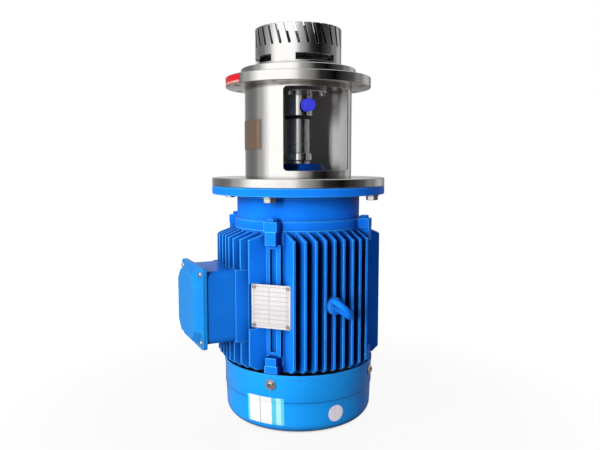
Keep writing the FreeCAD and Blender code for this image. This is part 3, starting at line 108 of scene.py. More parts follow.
# Rounded normal, and a mask that is 1 on sharp edges:
# 1 - (true normal . rounded normal), stretched by the gain
def buildEdgeGroup():
    tree, inward, outward = newGroup("edgeRounding", {"Radius": 0.0008, "Gain": 4.0},
                                     {"Mask": "Float", "Normal": "Vector"})
    bevel = addNode(tree, "ShaderNodeBevel", (-600, 100), samples=6)
    tree.links.new(inward.outputs["Radius"], bevel.inputs["Radius"])
    geometry = addNode(tree, "ShaderNodeNewGeometry", (-600, -150))
    dot = addNode(tree, "ShaderNodeVectorMath", (-350, 0), operation="DOT_PRODUCT")
    tree.links.new(bevel.outputs[0], dot.inputs[0])
    tree.links.new(geometry.outputs["Normal"], dot.inputs[1])
    away = mathNode(tree, "SUBTRACT", 1.0, dot.outputs["Value"], (-150, 0), clamp=True)
    gained = mathNode(tree, "MULTIPLY", away, inward.outputs["Gain"], (50, 0), clamp=True)
    tree.links.new(gained, outward.inputs["Mask"])
    tree.links.new(bevel.outputs[0], outward.inputs["Normal"])
    return tree


# Slow drift of a value round 0.5 and a fine grain of its own, both 3-D noise on Object coordinates
def buildMottleGroup():
    tree, inward, outward = newGroup("mottle", {"Patch size": 0.06, "Grain size": 0.002},
                                     {"Patch": "Float", "Grain": "Float"})
    coords = addNode(tree, "ShaderNodeTexCoord", (-900, -200))
    for label, detail, height in (("Patch", 3.0, 150), ("Grain", 2.0, -150)):
        scale = mathNode(tree, "DIVIDE", 1.0, inward.outputs[label + " size"], (-650, height))
        noise = addNode(tree, "ShaderNodeTexNoise", (-400, height))
        setInputs(noise, Detail=detail, Roughness=0.55)
        tree.links.new(coords.outputs["Object"], noise.inputs["Vector"])
        tree.links.new(scale, noise.inputs["Scale"])
        tree.links.new(noise.outputs[0], outward.inputs[label])
    return tree


# Distance from the shaft's line, sqrt(x^2 + y^2), and height, from Object coordinates
def axisSplit(tree):
    coords = addNode(tree, "ShaderNodeTexCoord", (-1100, -200))
    split = addNode(tree, "ShaderNodeSeparateXYZ", (-950, -200))
    tree.links.new(coords.outputs["Object"], split.inputs[0])
    square = mathNode(tree, "ADD", mathNode(tree, "POWER", split.outputs[0], 2.0, (-800, 0)),
                      mathNode(tree, "POWER", split.outputs[1], 2.0, (-800, -150)), (-650, -50))
    return mathNode(tree, "SQRT", square, None, (-500, -50)), split.outputs[2]


# Lathe rings: 1-D noise of radius plus height, so the marks run round on every turned face
def buildTurningGroup():
    tree, inward, outward = newGroup("latheRings", {"Ring size": 0.0006, "Along": 0.03},
                                     {"Height": "Float", "Band": "Float"})
    radius, height = axisSplit(tree)
    place = mathNode(tree, "ADD", radius, height, (-150, -100))
    kinds = ("Height", "Ring size", 4.0, 150), ("Band", "Along", 1.0, -250)
    for label, size, detail, level in kinds:
        noise = addNode(tree, "ShaderNodeTexNoise", (250, level), noise_dimensions="1D")
        setInputs(noise, Detail=detail, Roughness=0.6, Scale=1.0)
        turns = mathNode(tree, "DIVIDE", place, inward.outputs[size], (50, level))
        tree.links.new(turns, noise.inputs["W"])
        tree.links.new(noise.outputs[0], outward.inputs[label])
    return tree


# 1 nearer the shaft's line than the radius and above the floor height, falling off within
# a millimetre: (radius - distance) x 1000 times (height - floor) x 1000, each held from 0 to 1
def buildCoreGroup():
    tree, inward, outward = newGroup("coreZone", {"Radius": 0.08, "Floor": 0.4}, {"Mask": "Float"})
    radius, height = axisSplit(tree)
    inside = mathNode(tree, "SUBTRACT", inward.outputs["Radius"], radius, (-200, 100))
    above = mathNode(tree, "SUBTRACT", height, inward.outputs["Floor"], (-200, -100))
    near = mathNode(tree, "MULTIPLY", inside, 1000.0, (0, 100), clamp=True)
    high = mathNode(tree, "MULTIPLY", above, 1000.0, (0, -100), clamp=True)
    tree.links.new(mathNode(tree, "MULTIPLY", near, high, (200, 0)), outward.inputs["Mask"])
    return tree


# A line round the object at one height: 1 - |height - level| / half width, never below 0
def buildLineGroup():
    tree, inward, outward = newGroup("levelLine", {"Level": 0.05, "Half": 0.001}, {"Mask": "Float"})
    height = axisSplit(tree)[1]
    apart = mathNode(tree, "SUBTRACT", height, inward.outputs["Level"], (-200, 0))
    away = mathNode(tree, "ABSOLUTE", apart, None, (0, 0))
    share = mathNode(tree, "DIVIDE", away, inward.outputs["Half"], (200, 0))
    near = mathNode(tree, "SUBTRACT", 1.0, share, (400, 0), clamp=True)
    tree.links.new(near, outward.inputs["Mask"])
    return tree


# How far a face is shut in by its neighbours, as rays of a given reach tell
def buildShutInGroup():
    tree, inward, outward = newGroup("shutIn", {"Reach": 0.01}, {"Mask": "Float"})
    shade = addNode(tree, "ShaderNodeAmbientOcclusion", (-500, 0), samples=6)
    tree.links.new(inward.outputs["Reach"], shade.inputs["Distance"])
    shut = mathNode(tree, "SUBTRACT", 1.0, shade.outputs["AO"], (-200, 0), clamp=True)
    tree.links.new(shut, outward.inputs["Mask"])
    return tree


# A blank form on the UV map: a frame a margin in from the rim, with ruled rows and columns in it.
# A rule is drawn where (distance / pitch) has a fraction below (line / pitch).
def buildFormGroup():
    sizes = {"Width": 0.06, "Height": 0.06, "Margin": 0.003,
             "Line": 0.0005, "Row": 0.006, "Column": 0.03}
    tree, inward, outward = newGroup("ruledForm", sizes, {"Mask": "Float"})
    given = inward.outputs
    coords = addNode(tree, "ShaderNodeTexCoord", (-1500, 0))
    split = addNode(tree, "ShaderNodeSeparateXYZ", (-1300, 0))
    tree.links.new(coords.outputs["UV"], split.inputs[0])
    margins, rules = [], []
    for index, size, pitch in ((0, "Width", "Column"), (1, "Height", "Row")):
        level = 200 - 400 * index
        place = mathNode(tree, "MULTIPLY", split.outputs[index], given[size], (-1100, level))
        rest = mathNode(tree, "SUBTRACT", given[size], place, (-900, level))
        margins.append(mathNode(tree, "MINIMUM", place, rest, (-700, level)))
        turns = mathNode(tree, "DIVIDE", place, given[pitch], (-900, level - 150))
        part = mathNode(tree, "FRACT", turns, None, (-700, level - 150))
        share = mathNode(tree, "DIVIDE", given["Line"], given[pitch], (-700, level - 300))
        rules.append(mathNode(tree, "LESS_THAN", part, share, (-500, level - 150)))
    edge = mathNode(tree, "MINIMUM", margins[0], margins[1], (-500, 0))
    inside = mathNode(tree, "GREATER_THAN", edge, given["Margin"], (-300, 100))
    wide = mathNode(tree, "ADD", given["Margin"], given["Line"], (-500, -700))
    rim = mathNode(tree, "LESS_THAN", edge, wide, (-300, -100))
    ruled = mathNode(tree, "MAXIMUM", rules[0], rules[1], (-300, -300))
    drawn = mathNode(tree, "MAXIMUM", ruled, rim, (-100, -200))
    tree.links.new(mathNode(tree, "MULTIPLY", drawn, inside, (100, 0)), outward.inputs["Mask"])
    return tree


edgeGroup = buildEdgeGroup()
mottleGroup = buildMottleGroup()
turningGroup = buildTurningGroup()
coreGroup = buildCoreGroup()
lineGroup = buildLineGroup()
shutInGroup = buildShutInGroup()
formGroup = buildFormGroup()


def startMaterial(name):
    material = bpy.data.materials.new(name)
    material.use_nodes = True
    tree = material.node_tree
    return material, tree, tree.nodes["Principled BSDF"]


# Roughness that drifts with a mask between two values, and turns to a third in the core zone
def linkRoughness(tree, shader, source, values, core=None):
    rough = addNode(tree, "ShaderNodeMapRange", (-300, -100))
    setInputs(rough, To_Min=values["rough"][0], To_Max=values["rough"][1])
    tree.links.new(source, rough.inputs["Value"])
    if core is not None:
        inner = addNode(tree, "ShaderNodeMapRange", (-100, -100))
        setInputs(inner, To_Max=values["coreRough"])
        tree.links.new(core, inner.inputs["Value"])
        tree.links.new(rough.outputs[0], inner.inputs["To Min"])
        rough = inner
    tree.links.new(rough.outputs[0], shader.inputs["Roughness"])


def linkBump(tree, shader, height, normal, values):
    bump = addNode(tree, "ShaderNodeBump", (-200, -300))
    setInputs(bump, Strength=values["bump"], Distance=values["bumpDepth"])
    tree.links.new(height, bump.inputs["Height"])
    tree.links.new(normal, bump.inputs["Normal"])
    tree.links.new(bump.outputs[0], shader.inputs["Normal"])


# Sprayed enamel over metal: drifted colour, a painted highlight on its edges, and painted shade
# where a face is shut in, inside the lantern and along one line at a set height
def enamel(name, values):
    material, tree, shader = startMaterial(name)
    mottle = useGroup(tree, mottleGroup, (-900, 100), Patch_size=values["patch"],
                      Grain_size=values["grain"])
    edge = useGroup(tree, edgeGroup, (-900, -150), Radius=values["edge"], Gain=values["edgeGain"])
    shut = useGroup(tree, shutInGroup, (-900, -350), Reach=values["reach"])
    core = useGroup(tree, coreGroup, (-900, -550), Radius=values["coreRadius"],
                    Floor=values["coreFloor"])
    line = useGroup(tree, lineGroup, (-900, -750), Level=values["lineLevel"],
                    Half=values["lineHalf"])
    drift = mixColour(tree, mottle.outputs["Patch"], values["dark"], values["light"], (-650, 200))
    # Painted highlight: the edges turn paler, towards edgeColour
    edgeWearAndSheen = scaledMask(tree, edge, values["wearAndSheen"], (-650, -100))
    highlighted = mixColour(tree, edgeWearAndSheen, drift, values["edgeColour"], (-450, 150))
    # Painted shade: darker where a face is shut in, inside the lantern and along the line
    shade = scaledMask(tree, shut, values["shade"], (-650, -250))
    deep = scaledMask(tree, core, values["coreShade"], (-650, -450))
    drawn = scaledMask(tree, line, values["lineShade"], (-650, -650))
    dark = mathNode(tree, "MAXIMUM", shade, deep, (-450, -250))
    dark = mathNode(tree, "MAXIMUM", dark, drawn, (-450, -450))
    shaded = mixColour(tree, dark, highlighted, values["paintedShade"], (-250, 150))
    tree.links.new(shaded, shader.inputs["Base Color"])
    linkRoughness(tree, shader, mottle.outputs["Patch"], values)
    linkBump(tree, shader, mottle.outputs["Grain"], edge.outputs["Normal"], values)
    setInputs(shader, Specular_IOR_Level=values["specular"], Specular_Tint=values["tint"] + (1.0,))
    return material


# Bare metal, turned or ground: ring marks in the bump, bands in the gloss, painted shade where a
# face is shut in, and its own colour, gloss and metallic value in the core zone; in the stator head
# that colour is painted shade
def metal(name, values):
    material, tree, shader = startMaterial(name)
    rings = useGroup(tree, turningGroup, (-900, 100), Ring_size=values["ring"],
                     Along=values["band"])
    mottle = useGroup(tree, mottleGroup, (-900, -100), Patch_size=values["patch"])
    edge = useGroup(tree, edgeGroup, (-900, -300), Radius=values["edge"], Gain=values["edgeGain"])
    core = useGroup(tree, coreGroup, (-900, -500), Radius=values["coreRadius"],
                    Floor=values["coreFloor"])
    shut = useGroup(tree, shutInGroup, (-900, -700), Reach=values["reach"])
    tone = mixColour(tree, mottle.outputs["Patch"], values["dark"], values["light"], (-600, 200))
    # Painted highlight, partly wear: the edges turn paler, towards edgeColour
    edgeWearAndSheen = scaledMask(tree, edge, values["wearAndSheen"], (-600, -50))
    edged = mixColour(tree, edgeWearAndSheen, tone, values["edgeColour"], (-400, 150))
    # Painted shade: darker grey where a face is shut in
    shade = scaledMask(tree, shut, values["shade"], (-600, -400), clamp=True)
    greyShaded = mixColour(tree, shade, edged, values["shadeGrey"], (-300, 150))
    # Core zone: in the stator head its dark colour is painted shade
    inner = mixColour(tree, core.outputs["Mask"], greyShaded, values["coreColour"], (-200, 150))
    tree.links.new(inner, shader.inputs["Base Color"])
    linkRoughness(tree, shader, rings.outputs["Band"], values, core.outputs["Mask"])
    shine = addNode(tree, "ShaderNodeMapRange", (-100, -250))
    setInputs(shine, To_Min=1.0, To_Max=values["coreMetallic"])
    tree.links.new(core.outputs["Mask"], shine.inputs["Value"])
    tree.links.new(shine.outputs[0], shader.inputs["Metallic"])
    linkBump(tree, shader, rings.outputs["Height"], edge.outputs["Normal"], values)
    return material


# Rubber, plastic or ceramic: two tones, a fine skin and soft edges
def moulded(name, values):
    material, tree, shader = startMaterial(name)
    mottle = useGroup(tree, mottleGroup, (-900, 0), Patch_size=values["patch"],
                      Grain_size=values["grain"])
    edge = useGroup(tree, edgeGroup, (-900, -250), Radius=values["edge"], Gain=values["edgeGain"])
    tone = mixColour(tree, mottle.outputs["Patch"], values["dark"], values["light"], (-600, 200))
    # Painted highlight, partly wear: the edges turn paler, towards edgeColour
    edgeWearAndSheen = scaledMask(tree, edge, values["wearAndSheen"], (-600, -50))
    edged = mixColour(tree, edgeWearAndSheen, tone, values["edgeColour"], (-400, 150))
    tree.links.new(edged, shader.inputs["Base Color"])
    linkRoughness(tree, shader, mottle.outputs["Grain"], values)
    linkBump(tree, shader, mottle.outputs["Grain"], edge.outputs["Normal"], values)
    return material


filmSkin = {"patch": 0.012, "press": 0.2, "pressDepth": 0.0001}        # for all printed pieces


# A blank printed piece: panels of colour side by side along the UV map, ruled with a blank form
def blankForm(name, values):
    material, tree, shader = startMaterial(name)
    coords = addNode(tree, "ShaderNodeTexCoord", (-1100, 200))
    split = addNode(tree, "ShaderNodeSeparateXYZ", (-950, 200))
    tree.links.new(coords.outputs["UV"], split.inputs[0])
    ramp = addNode(tree, "ShaderNodeValToRGB", (-750, 200))
    ramp.color_ramp.interpolation = "CONSTANT"
    points = ramp.color_ramp.elements
    panels = values["panels"]
    for place, colour in panels[2:]:
        points.new(place)
    for point, (place, colour) in zip(points, panels):
        point.position = place
        point.color = colour + (1.0,)
    tree.links.new(split.outputs[values["across"]], ramp.inputs[0])
    mottle = useGroup(tree, mottleGroup, (-900, -100), Patch_size=filmSkin["patch"])
    form = useGroup(tree, formGroup, (-900, -300), **values["form"])
    stained = mathNode(tree, "MULTIPLY", mottle.outputs["Patch"], values["age"], (-600, 0))
    aged = mixColour(tree, stained, ramp.outputs[0], values["stain"], (-400, 200))
    inked = scaledMask(tree, form, values["ink"], (-600, -200))
    ruled = mixColour(tree, inked, aged, values["inkColour"], (-200, 200))
    tree.links.new(ruled, shader.inputs["Base Color"])
    linkRoughness(tree, shader, mottle.outputs["Patch"], values)
    bump = addNode(tree, "ShaderNodeBump", (-200, -300), invert=True)
    setInputs(bump, Strength=filmSkin["press"], Distance=filmSkin["pressDepth"])
    tree.links.new(form.outputs["Mask"], bump.inputs["Height"])
    tree.links.new(bump.outputs[0], shader.inputs["Normal"])
    setInputs(shader, Metallic=values["metallic"])
    return material


castEnamel = {
    # edgeColour is a painted highlight along the edges
    "dark": (0.004, 0.130, 0.64), "light": (0.008, 0.200, 0.84), "edgeColour": (0.10, 0.58, 0.98),
    # paintedShade is the colour of painted shade in hollows, inside the lantern and along the line
    "paintedShade": (0.001, 0.010, 0.120), "patch": 0.05, "grain": 0.0028, "edge": 0.0015,
    "edgeGain": 9.0, "wearAndSheen": 1.0, "reach": 0.032, "shade": 1.05, "rough": (0.34, 0.48),
    "bump": 0.35, "bumpDepth": 0.0004, "specular": 0.12, "tint": (0.25, 0.85, 1.0),
    # coreShade paints shade on the blue inside the lantern
    "coreRadius": 0.089, "coreFloor": 0.4005, "coreShade": 0.86,        # inside the lantern
    "lineLevel": -1.0, "lineHalf": 0.0016, "lineShade": 0.7,            # below the floor: no line
}
# The cowl's line at 0.0545 m is painted shade under its step
sheetEnamel = dict(castEnamel, dark=(0.006, 0.225, 0.68), light=(0.011, 0.300, 0.82), patch=0.12,
                   grain=0.0018, bump=0.12, rough=(0.16, 0.24), edge=0.0008, reach=0.014, shade=0.7,
                   specular=0.3, lineLevel=0.0545)
# The lid's blue is a darker copy of the cowl's paint: painted shade on the lit lid
lidEnamel = dict(sheetEnamel, dark=(0.007, 0.165, 0.50), light=(0.011, 0.215, 0.60),
                 edgeColour=(0.05, 0.40, 0.80), rough=(0.28, 0.36), specular=0.1, lineLevel=-1.0)
# The box's blue is a darker copy of the cast paint: painted shade
caseEnamel = dict(castEnamel, dark=(0.005, 0.125, 0.54), light=(0.008, 0.165, 0.66), bump=0.12,
                  edge=0.0008, rough=(0.26, 0.36))
polishedSteel = {
    # edgeColour is a painted highlight along the edges, partly wear
    "dark": (0.66, 0.645, 0.625), "light": (0.79, 0.78, 0.76), "edgeColour": (0.93, 0.92, 0.90),
    "patch": 0.07, "ring": 0.0007, "band": 0.02, "edge": 0.0006, "edgeGain": 3.0, "wearAndSheen": 0.5,
    "rough": (0.07, 0.13), "bump": 0.12, "bumpDepth": 0.00015,
    # shadeGrey is the colour of painted shade where a face is shut in
    "shadeGrey": (0.03, 0.03, 0.032), "reach": 0.006, "shade": 0.6,
    "coreRadius": 0.0, "coreFloor": 0.0,        # no core zone
    "coreColour": (0.3, 0.3, 0.3), "coreRough": 0.3, "coreMetallic": 1.0,
}
tubeSteel = dict(polishedSteel, rough=(0.09, 0.15), bump=0.06, ring=0.002, band=0.05,
                 coreRadius=0.0902, coreFloor=0.4, coreColour=(0.44, 0.435, 0.435),
                 coreRough=0.5, coreMetallic=0.0)
# Inside the stator head the coreColour is painted shade, darker than the steel
headSteel = dict(polishedSteel, dark=(0.64, 0.63, 0.62), light=(0.80, 0.79, 0.78),
                 rough=(0.13, 0.20), bump=0.18, reach=0.008, shade=1.7, coreRadius=0.0668,
                 coreFloor=0.598, coreColour=(0.20, 0.20, 0.20), coreRough=0.45)
zincPlate = dict(polishedSteel, dark=(0.74, 0.73, 0.70), light=(0.88, 0.87, 0.84),
                 rough=(0.13, 0.22), bump=0.1, patch=0.01, edge=0.0004, reach=0.003, shade=0.9)
groundSteel = dict(polishedSteel, dark=(0.50, 0.50, 0.50), light=(0.66, 0.66, 0.65),
                   rough=(0.2, 0.3), bump=0.15)
bearingSteel = dict(polishedSteel, rough=(0.08, 0.12), bump=0.03)
brassTone = dict(polishedSteel, dark=(0.55, 0.38, 0.13), light=(0.72, 0.52, 0.20),
                 edgeColour=(0.85, 0.68, 0.34), rough=(0.22, 0.32), bump=0.1)
copperTone = dict(brassTone, dark=(0.42, 0.15, 0.06), light=(0.60, 0.24, 0.10),
                  edgeColour=(0.72, 0.36, 0.2))
sheetStack = dict(groundSteel, dark=(0.16, 0.16, 0.17), light=(0.26, 0.26, 0.27), ring=0.001,
                  rough=(0.4, 0.5), bump=0.6)
rubberTone = {
    "dark": (0.012, 0.012, 0.013), "light": (0.024, 0.024, 0.026), "edgeColour": (0.06, 0.06, 0.06),
    "patch": 0.02, "grain": 0.0006, "edge": 0.0005, "edgeGain": 3.0, "wearAndSheen": 0.4,
    "rough": (0.5, 0.65), "bump": 0.2, "bumpDepth": 0.0003,
}
fanPlastic = dict(rubberTone, rough=(0.35, 0.5), grain=0.001)
boardPlastic = dict(rubberTone, dark=(0.09, 0.035, 0.018), light=(0.14, 0.06, 0.03),
                    edgeColour=(0.22, 0.12, 0.08))
capPlastic = dict(rubberTone, dark=(0.035, 0.035, 0.62), light=(0.055, 0.075, 0.92),
                  edgeColour=(0.30, 0.34, 1.0), rough=(0.28, 0.4), bump=0.08)
ceramicTone = dict(rubberTone, dark=(0.74, 0.72, 0.66), light=(0.82, 0.80, 0.75),
                   edgeColour=(0.9, 0.9, 0.88), rough=(0.12, 0.2), bump=0.02)
carbonTone = dict(rubberTone, dark=(0.02, 0.02, 0.024), light=(0.04, 0.04, 0.045),
                  rough=(0.25, 0.35))

castBlue = enamel("castBlue", castEnamel)
sheetBlue = enamel("sheetBlue", sheetEnamel)
lidBlue = enamel("lidBlue", lidEnamel)
caseBlue = enamel("caseBlue", caseEnamel)
turnedSteel = metal("turnedSteel", polishedSteel)
polishedTube = metal("polishedTube", tubeSteel)
milledSteel = metal("milledSteel", headSteel)
zinc = metal("zincPlate", zincPlate)
ground = metal("groundSteel", groundSteel)
races = metal("bearingSteel", bearingSteel)
brass = metal("brass", brassTone)
copper = metal("varnishedCopper", copperTone)
laminated = metal("laminatedCore", sheetStack)
rubber = moulded("blackRubber", rubberTone)
blackPlastic = moulded("blackPlastic", fanPlastic)
brownPlastic = moulded("brownPlastic", boardPlastic)
bluePlastic = moulded("bluePlastic", capPlastic)
ceramic = moulded("sealCeramic", ceramicTone)
carbon = moulded("sealCarbon", carbonTone)
print("stage 2: materials made")

wears = {
    castBlue: "motor_frame fan_end_shield drive_end_shield lifting_eyebolt",
    sheetBlue: "fan_cowl",
    lidBlue: "box_lid",
    caseBlue: "terminal_box",
    turnedSteel: "lantern_base tank_flange seal_housing shaft_collar",
    polishedTube: "lantern_tube flush_nipple",
    milledSteel: "stator_head mixing_rotor rotor_cap_nut",
    zinc: "flange_washers box_screws head_screws seal_housing_screws earth_screw"
          " wave_spring fan_circlip",
    ground: "plate_rivets motor_shaft fan_key rotor_key seal_collar rotor_end_rings",
    races: "fan_bearing_outer fan_bearing_inner drive_bearing_outer drive_bearing_inner"
           " bearing_balls",
    brass: "fan_bearing_cage drive_bearing_cage terminal_studs terminal_links terminal_nuts"
           " cable_gland blanking_plug",
    copper: "stator_windings",
    laminated: "stator_core rotor_core",
    rubber: "box_gasket v_ring lip_seal seal_bellows",
    blackPlastic: "cooling_fan",
    brownPlastic: "terminal_board",
    ceramic: "seal_seat",
    carbon: "seal_face",
}
meshCare = {"sharpAngle": math.radians(32), "nodeWeld": 0.00001, "pieceWeld": 0.000001}


# A CAD node keeps its mesh: its doubles are welded, and its round faces shade smooth
# up to the sharp angle
def dressNode(name, material):
    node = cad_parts[name]
    for slot in node.material_slots:
        slot.material = material
    node.data.polygons.foreach_set("use_smooth", np.ones(len(node.data.polygons), bool))
    weld = node.modifiers.new("weld", "WELD")
    weld.merge_threshold = meshCare["nodeWeld"]
    split = node.modifiers.new("split", "EDGE_SPLIT")
    split.split_angle = meshCare["sharpAngle"]
    split.use_edge_sharp = False


for material, names in wears.items():
    for name in names.split():
        dressNode(name, material)
print("stage 3: CAD nodes dressed")


# Quads between the rows and columns of a grid of points;
# a wrapped grid's last column meets its first
def gridFaces(rows, columns, wrap):
    last = columns if wrap else columns - 1
    i, j = np.meshgrid(np.arange(rows - 1), np.arange(last), indexing="ij")
    k = (j + 1) % columns
    corners = [i * columns + j, i * columns + k, (i + 1) * columns + k, (i + 1) * columns + j]
    return np.stack(corners, -1).reshape(-1, 4)


# One mesh object from patches of (points, faces, uv);
# its doubles are merged and its faces turned outward
def makePiece(name, patches, material, stands=()):
    pointSets, faceSets, uvSets = zip(*patches)
    first = np.cumsum([0] + [len(points) for points in pointSets[:-1]])
    faces = np.concatenate([quads + start for start, quads in zip(first, faceSets)])
    uv = np.concatenate(uvSets)
    mesh = bpy.data.meshes.new(name)
    mesh.from_pydata(np.concatenate(pointSets).tolist(), [], faces.tolist())
    corner = np.empty(len(mesh.loops), int)
    mesh.loops.foreach_get("vertex_index", corner)
    mesh.uv_layers.new(name="uv").data.foreach_set("uv", uv[corner].ravel().astype(np.float32))
    work = bmesh.new()
    work.from_mesh(mesh)
    bmesh.ops.remove_doubles(work, verts=work.verts, dist=meshCare["pieceWeld"])
    bmesh.ops.recalc_face_normals(work, faces=work.faces)
    work.to_mesh(mesh)
    work.free()
    mesh.shade_smooth()
    mesh.set_sharp_from_angle(angle=meshCare["sharpAngle"])
    mesh.materials.append(material)
    piece = bpy.data.objects.new(name, mesh)
    bpy.context.scene.collection.objects.link(piece)
    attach(piece, "stationary")
    if stands:
        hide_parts(*stands)
    return piece


# Rows of a rectangle with round corners: at height v a row is as wide as
# halfWidth - corner + sqrt(corner^2 - over^2), where over = |v| - (halfHeight - corner)
# and v = halfHeight sin(even steps)
def roundedGrid(values, rows, columns):
    halfWidth, halfHeight, corner = values["halfWidth"], values["halfHeight"], values["corner"]
    v = halfHeight * np.sin(np.linspace(-np.pi / 2, np.pi / 2, rows))
    over = np.clip(np.abs(v) - (halfHeight - corner), 0, corner)
    half = halfWidth - corner + np.sqrt(corner ** 2 - over ** 2)
    across = half[:, None] * np.linspace(-1, 1, columns)
    up = np.repeat(v[:, None], columns, 1)
    uv = np.stack([across / (2 * halfWidth) + 0.5, up / (2 * halfHeight) + 0.5], -1)
    return across, up, uv


# A closed plate: the grid as its back, the grid moved out by its thickness as its front,
# and a strip round the rim
def platePatch(back, outward, thick, uv):
    rows, columns = back.shape[:2]
    count = rows * columns
    points = np.concatenate([(back + outward * thick).reshape(-1, 3), back.reshape(-1, 3)])
    quads = gridFaces(rows, columns, False)
    index = np.arange(count).reshape(rows, columns)
    rim = np.concatenate([index[0, :-1], index[:-1, -1], index[-1, :0:-1], index[:0:-1, 0]])
    after = np.roll(rim, -1)
    strip = np.stack([rim, after, after + count, rim + count], -1)
    faces = np.concatenate([quads, quads[:, ::-1] + count, strip])
    return points, faces, np.tile(uv.reshape(-1, 2), (2, 1))


# Turned walls that carry stickers: radii at their heights, and a rounded foot
cowlWall = {"heights": (0.0, 0.054, 0.056, 0.1), "radii": (0.1272, 0.1293, 0.1304, 0.1304),
            "corner": 0.020}
rimWall = {"heights": (0.0, 1.0), "radii": (0.125, 0.125), "corner": 0.0}
tubeWall = {"heights": (0.0, 1.0), "radii": (0.0925, 0.0925), "corner": 0.0}


# A wall's radius: straight between its heights, and in its foot
# less corner - sqrt(corner^2 - (corner - z)^2)
def wallRadius(wall, z):
    corner = wall["corner"]
    low = np.clip(corner - z, 0, corner)
    straight = np.interp(z, wall["heights"], wall["radii"])
    return straight - corner + np.sqrt(corner ** 2 - low ** 2)


# A blank sticker rolled on a wall: heading = its own + across / radius, from -Y towards +X
def addSticker(name, values, material, wall, rows=25, columns=33):
    across, up, uv = roundedGrid(values, rows, columns)
    height = values["height"] + up
    radius = wallRadius(wall, height) + values["lift"]
    angle = math.radians(values["heading"]) + across / radius
    outward = np.stack([np.sin(angle), -np.cos(angle), np.zeros_like(angle)], -1)
    back = outward * radius[..., None]
    back[..., 2] = height
    patch = platePatch(back, outward, values["thick"], uv)
    return makePiece(name, [patch], material)


plainFilm = {
    "lift": 0.00012, "thick": 0.0003, "finish": "plate_bronze", "across": 0, "ink": 0.0,
    "inkColour": (0.5, 0.5, 0.5), "rough": (0.25, 0.35), "metallic": 0.0,
    "form": {"Margin": 0.2},        # wider than the sticker, so nothing is ruled
}
cowlLabel = dict(
    plainFilm, heading=-50.0, height=0.0388, halfWidth=0.0335, halfHeight=0.0228, corner=0.0015,
    panels=[(0.0, (0.03, 0.55, 0.70)), (0.06, (0.66, 0.67, 0.67)), (0.36, (0.20, 0.22, 0.23)),
            (0.38, (0.66, 0.66, 0.65)), (0.68, (0.01, 0.42, 0.62)), (0.80, (0.30, 0.66, 0.72)),
            (0.92, (0.01, 0.50, 0.68))],
    form={"Width": 0.067, "Height": 0.0456, "Margin": 0.0022,
          "Line": 0.0005, "Row": 0.0052, "Column": 0.2},
    ink=0.3, inkColour=(0.12, 0.15, 0.18), stain=(0.46, 0.52, 0.54), age=0.3,
)
cowlDisc = dict(
    plainFilm, heading=3.6, height=0.0318, halfWidth=0.0138, halfHeight=0.0138, corner=0.0138,
    panels=[(0.0, (0.76, 0.74, 0.80)), (0.5, (0.84, 0.82, 0.88))],
    stain=(0.62, 0.52, 0.64), age=0.45,
)
rimBand = dict(
    plainFilm, heading=-89.0, height=0.57485, halfWidth=0.0325, halfHeight=0.0068, corner=0.0006,
    panels=[(0.0, (0.50, 0.25, 0.25)), (0.30, (0.48, 0.005, 0.012))], across=1,
    stain=(0.30, 0.006, 0.012), age=0.4,
)
lanternPlate = {
    "heading": -89.0, "height": 0.4858, "halfWidth": 0.0371, "halfHeight": 0.0245, "corner": 0.0008,
    "lift": 0.0002, "thick": 0.0005, "finish": "plate_bronze",
    "panels": [(0.0, (0.05, 0.04, 0.03)), (0.10, (0.14, 0.095, 0.068)), (0.86, (0.19, 0.14, 0.11))],
    "form": {"Width": 0.074, "Height": 0.049, "Margin": 0.002,
             "Line": 0.0008, "Row": 0.0105, "Column": 0.028},
    "across": 0, "ink": 0.45, "inkColour": (0.07, 0.045, 0.03), "stain": (0.09, 0.06, 0.04),
    "age": 0.5, "rough": (0.28, 0.4), "metallic": 0.3,
}
addSticker("cowlLabel", cowlLabel, blankForm("cowlLabelFilm", cowlLabel), cowlWall)
addSticker("cowlDisc", cowlDisc, blankForm("cowlDiscFilm", cowlDisc), cowlWall)
addSticker("rimBand", rimBand, blankForm("rimBandFilm", rimBand), rimWall)
plate = addSticker("lanternPlate", lanternPlate, blankForm("bronzeFoil", lanternPlate), tubeWall)
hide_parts("lantern_plate")
print("stage 4: stickers and foil laid")

namePlate = {
    "swing": -45.0, "reach": 0.1274, "height": 0.2105, "halfWidth": 0.0335, "halfHeight": 0.0355,
    "corner": 0.003, "thick": 0.001, "pillow": 0.00025, "rim": 0.002, "steps": 61,
    "panels": [(0.0, (0.58, 0.57, 0.575)), (0.5, (0.62, 0.61, 0.61))], "across": 1,
    "form": {"Width": 0.067, "Height": 0.071, "Margin": 0.0035,
             "Line": 0.0009, "Row": 0.0074, "Column": 0.030},
    "ink": 0.5, "inkColour": (0.12, 0.11, 0.13), "stain": (0.46, 0.45, 0.45), "age": 0.5,
    "rough": (0.3, 0.42), "metallic": 0.2,
}


# A pressed plate: its middle stands lower than its rim by pillow, with a smooth step
# (3t^2 - 2t^3) one rim wide
def addNamePlate(values):
    across, up, uv = roundedGrid(values, values["steps"], values["steps"])
    inset = np.minimum(values["halfWidth"] - np.abs(across), values["halfHeight"] - np.abs(up))
    t = np.clip((inset - values["rim"]) / values["rim"], 0, 1)
    thick = values["thick"] - values["pillow"] * (3 * t ** 2 - 2 * t ** 3)
    swing = math.radians(values["swing"])
    outward = np.array([math.sin(swing), -math.cos(swing), 0.0])
    right = np.array([math.cos(swing), math.sin(swing), 0.0])
    back = outward * values["reach"] + across[..., None] * right
    back[..., 2] = values["height"] + up
    patch = platePatch(back, outward, thick[..., None], uv)
    tin = blankForm("plateTin", values)
    return makePiece("namePlate", [patch], tin, ["name_plate"])


addNamePlate(namePlate)

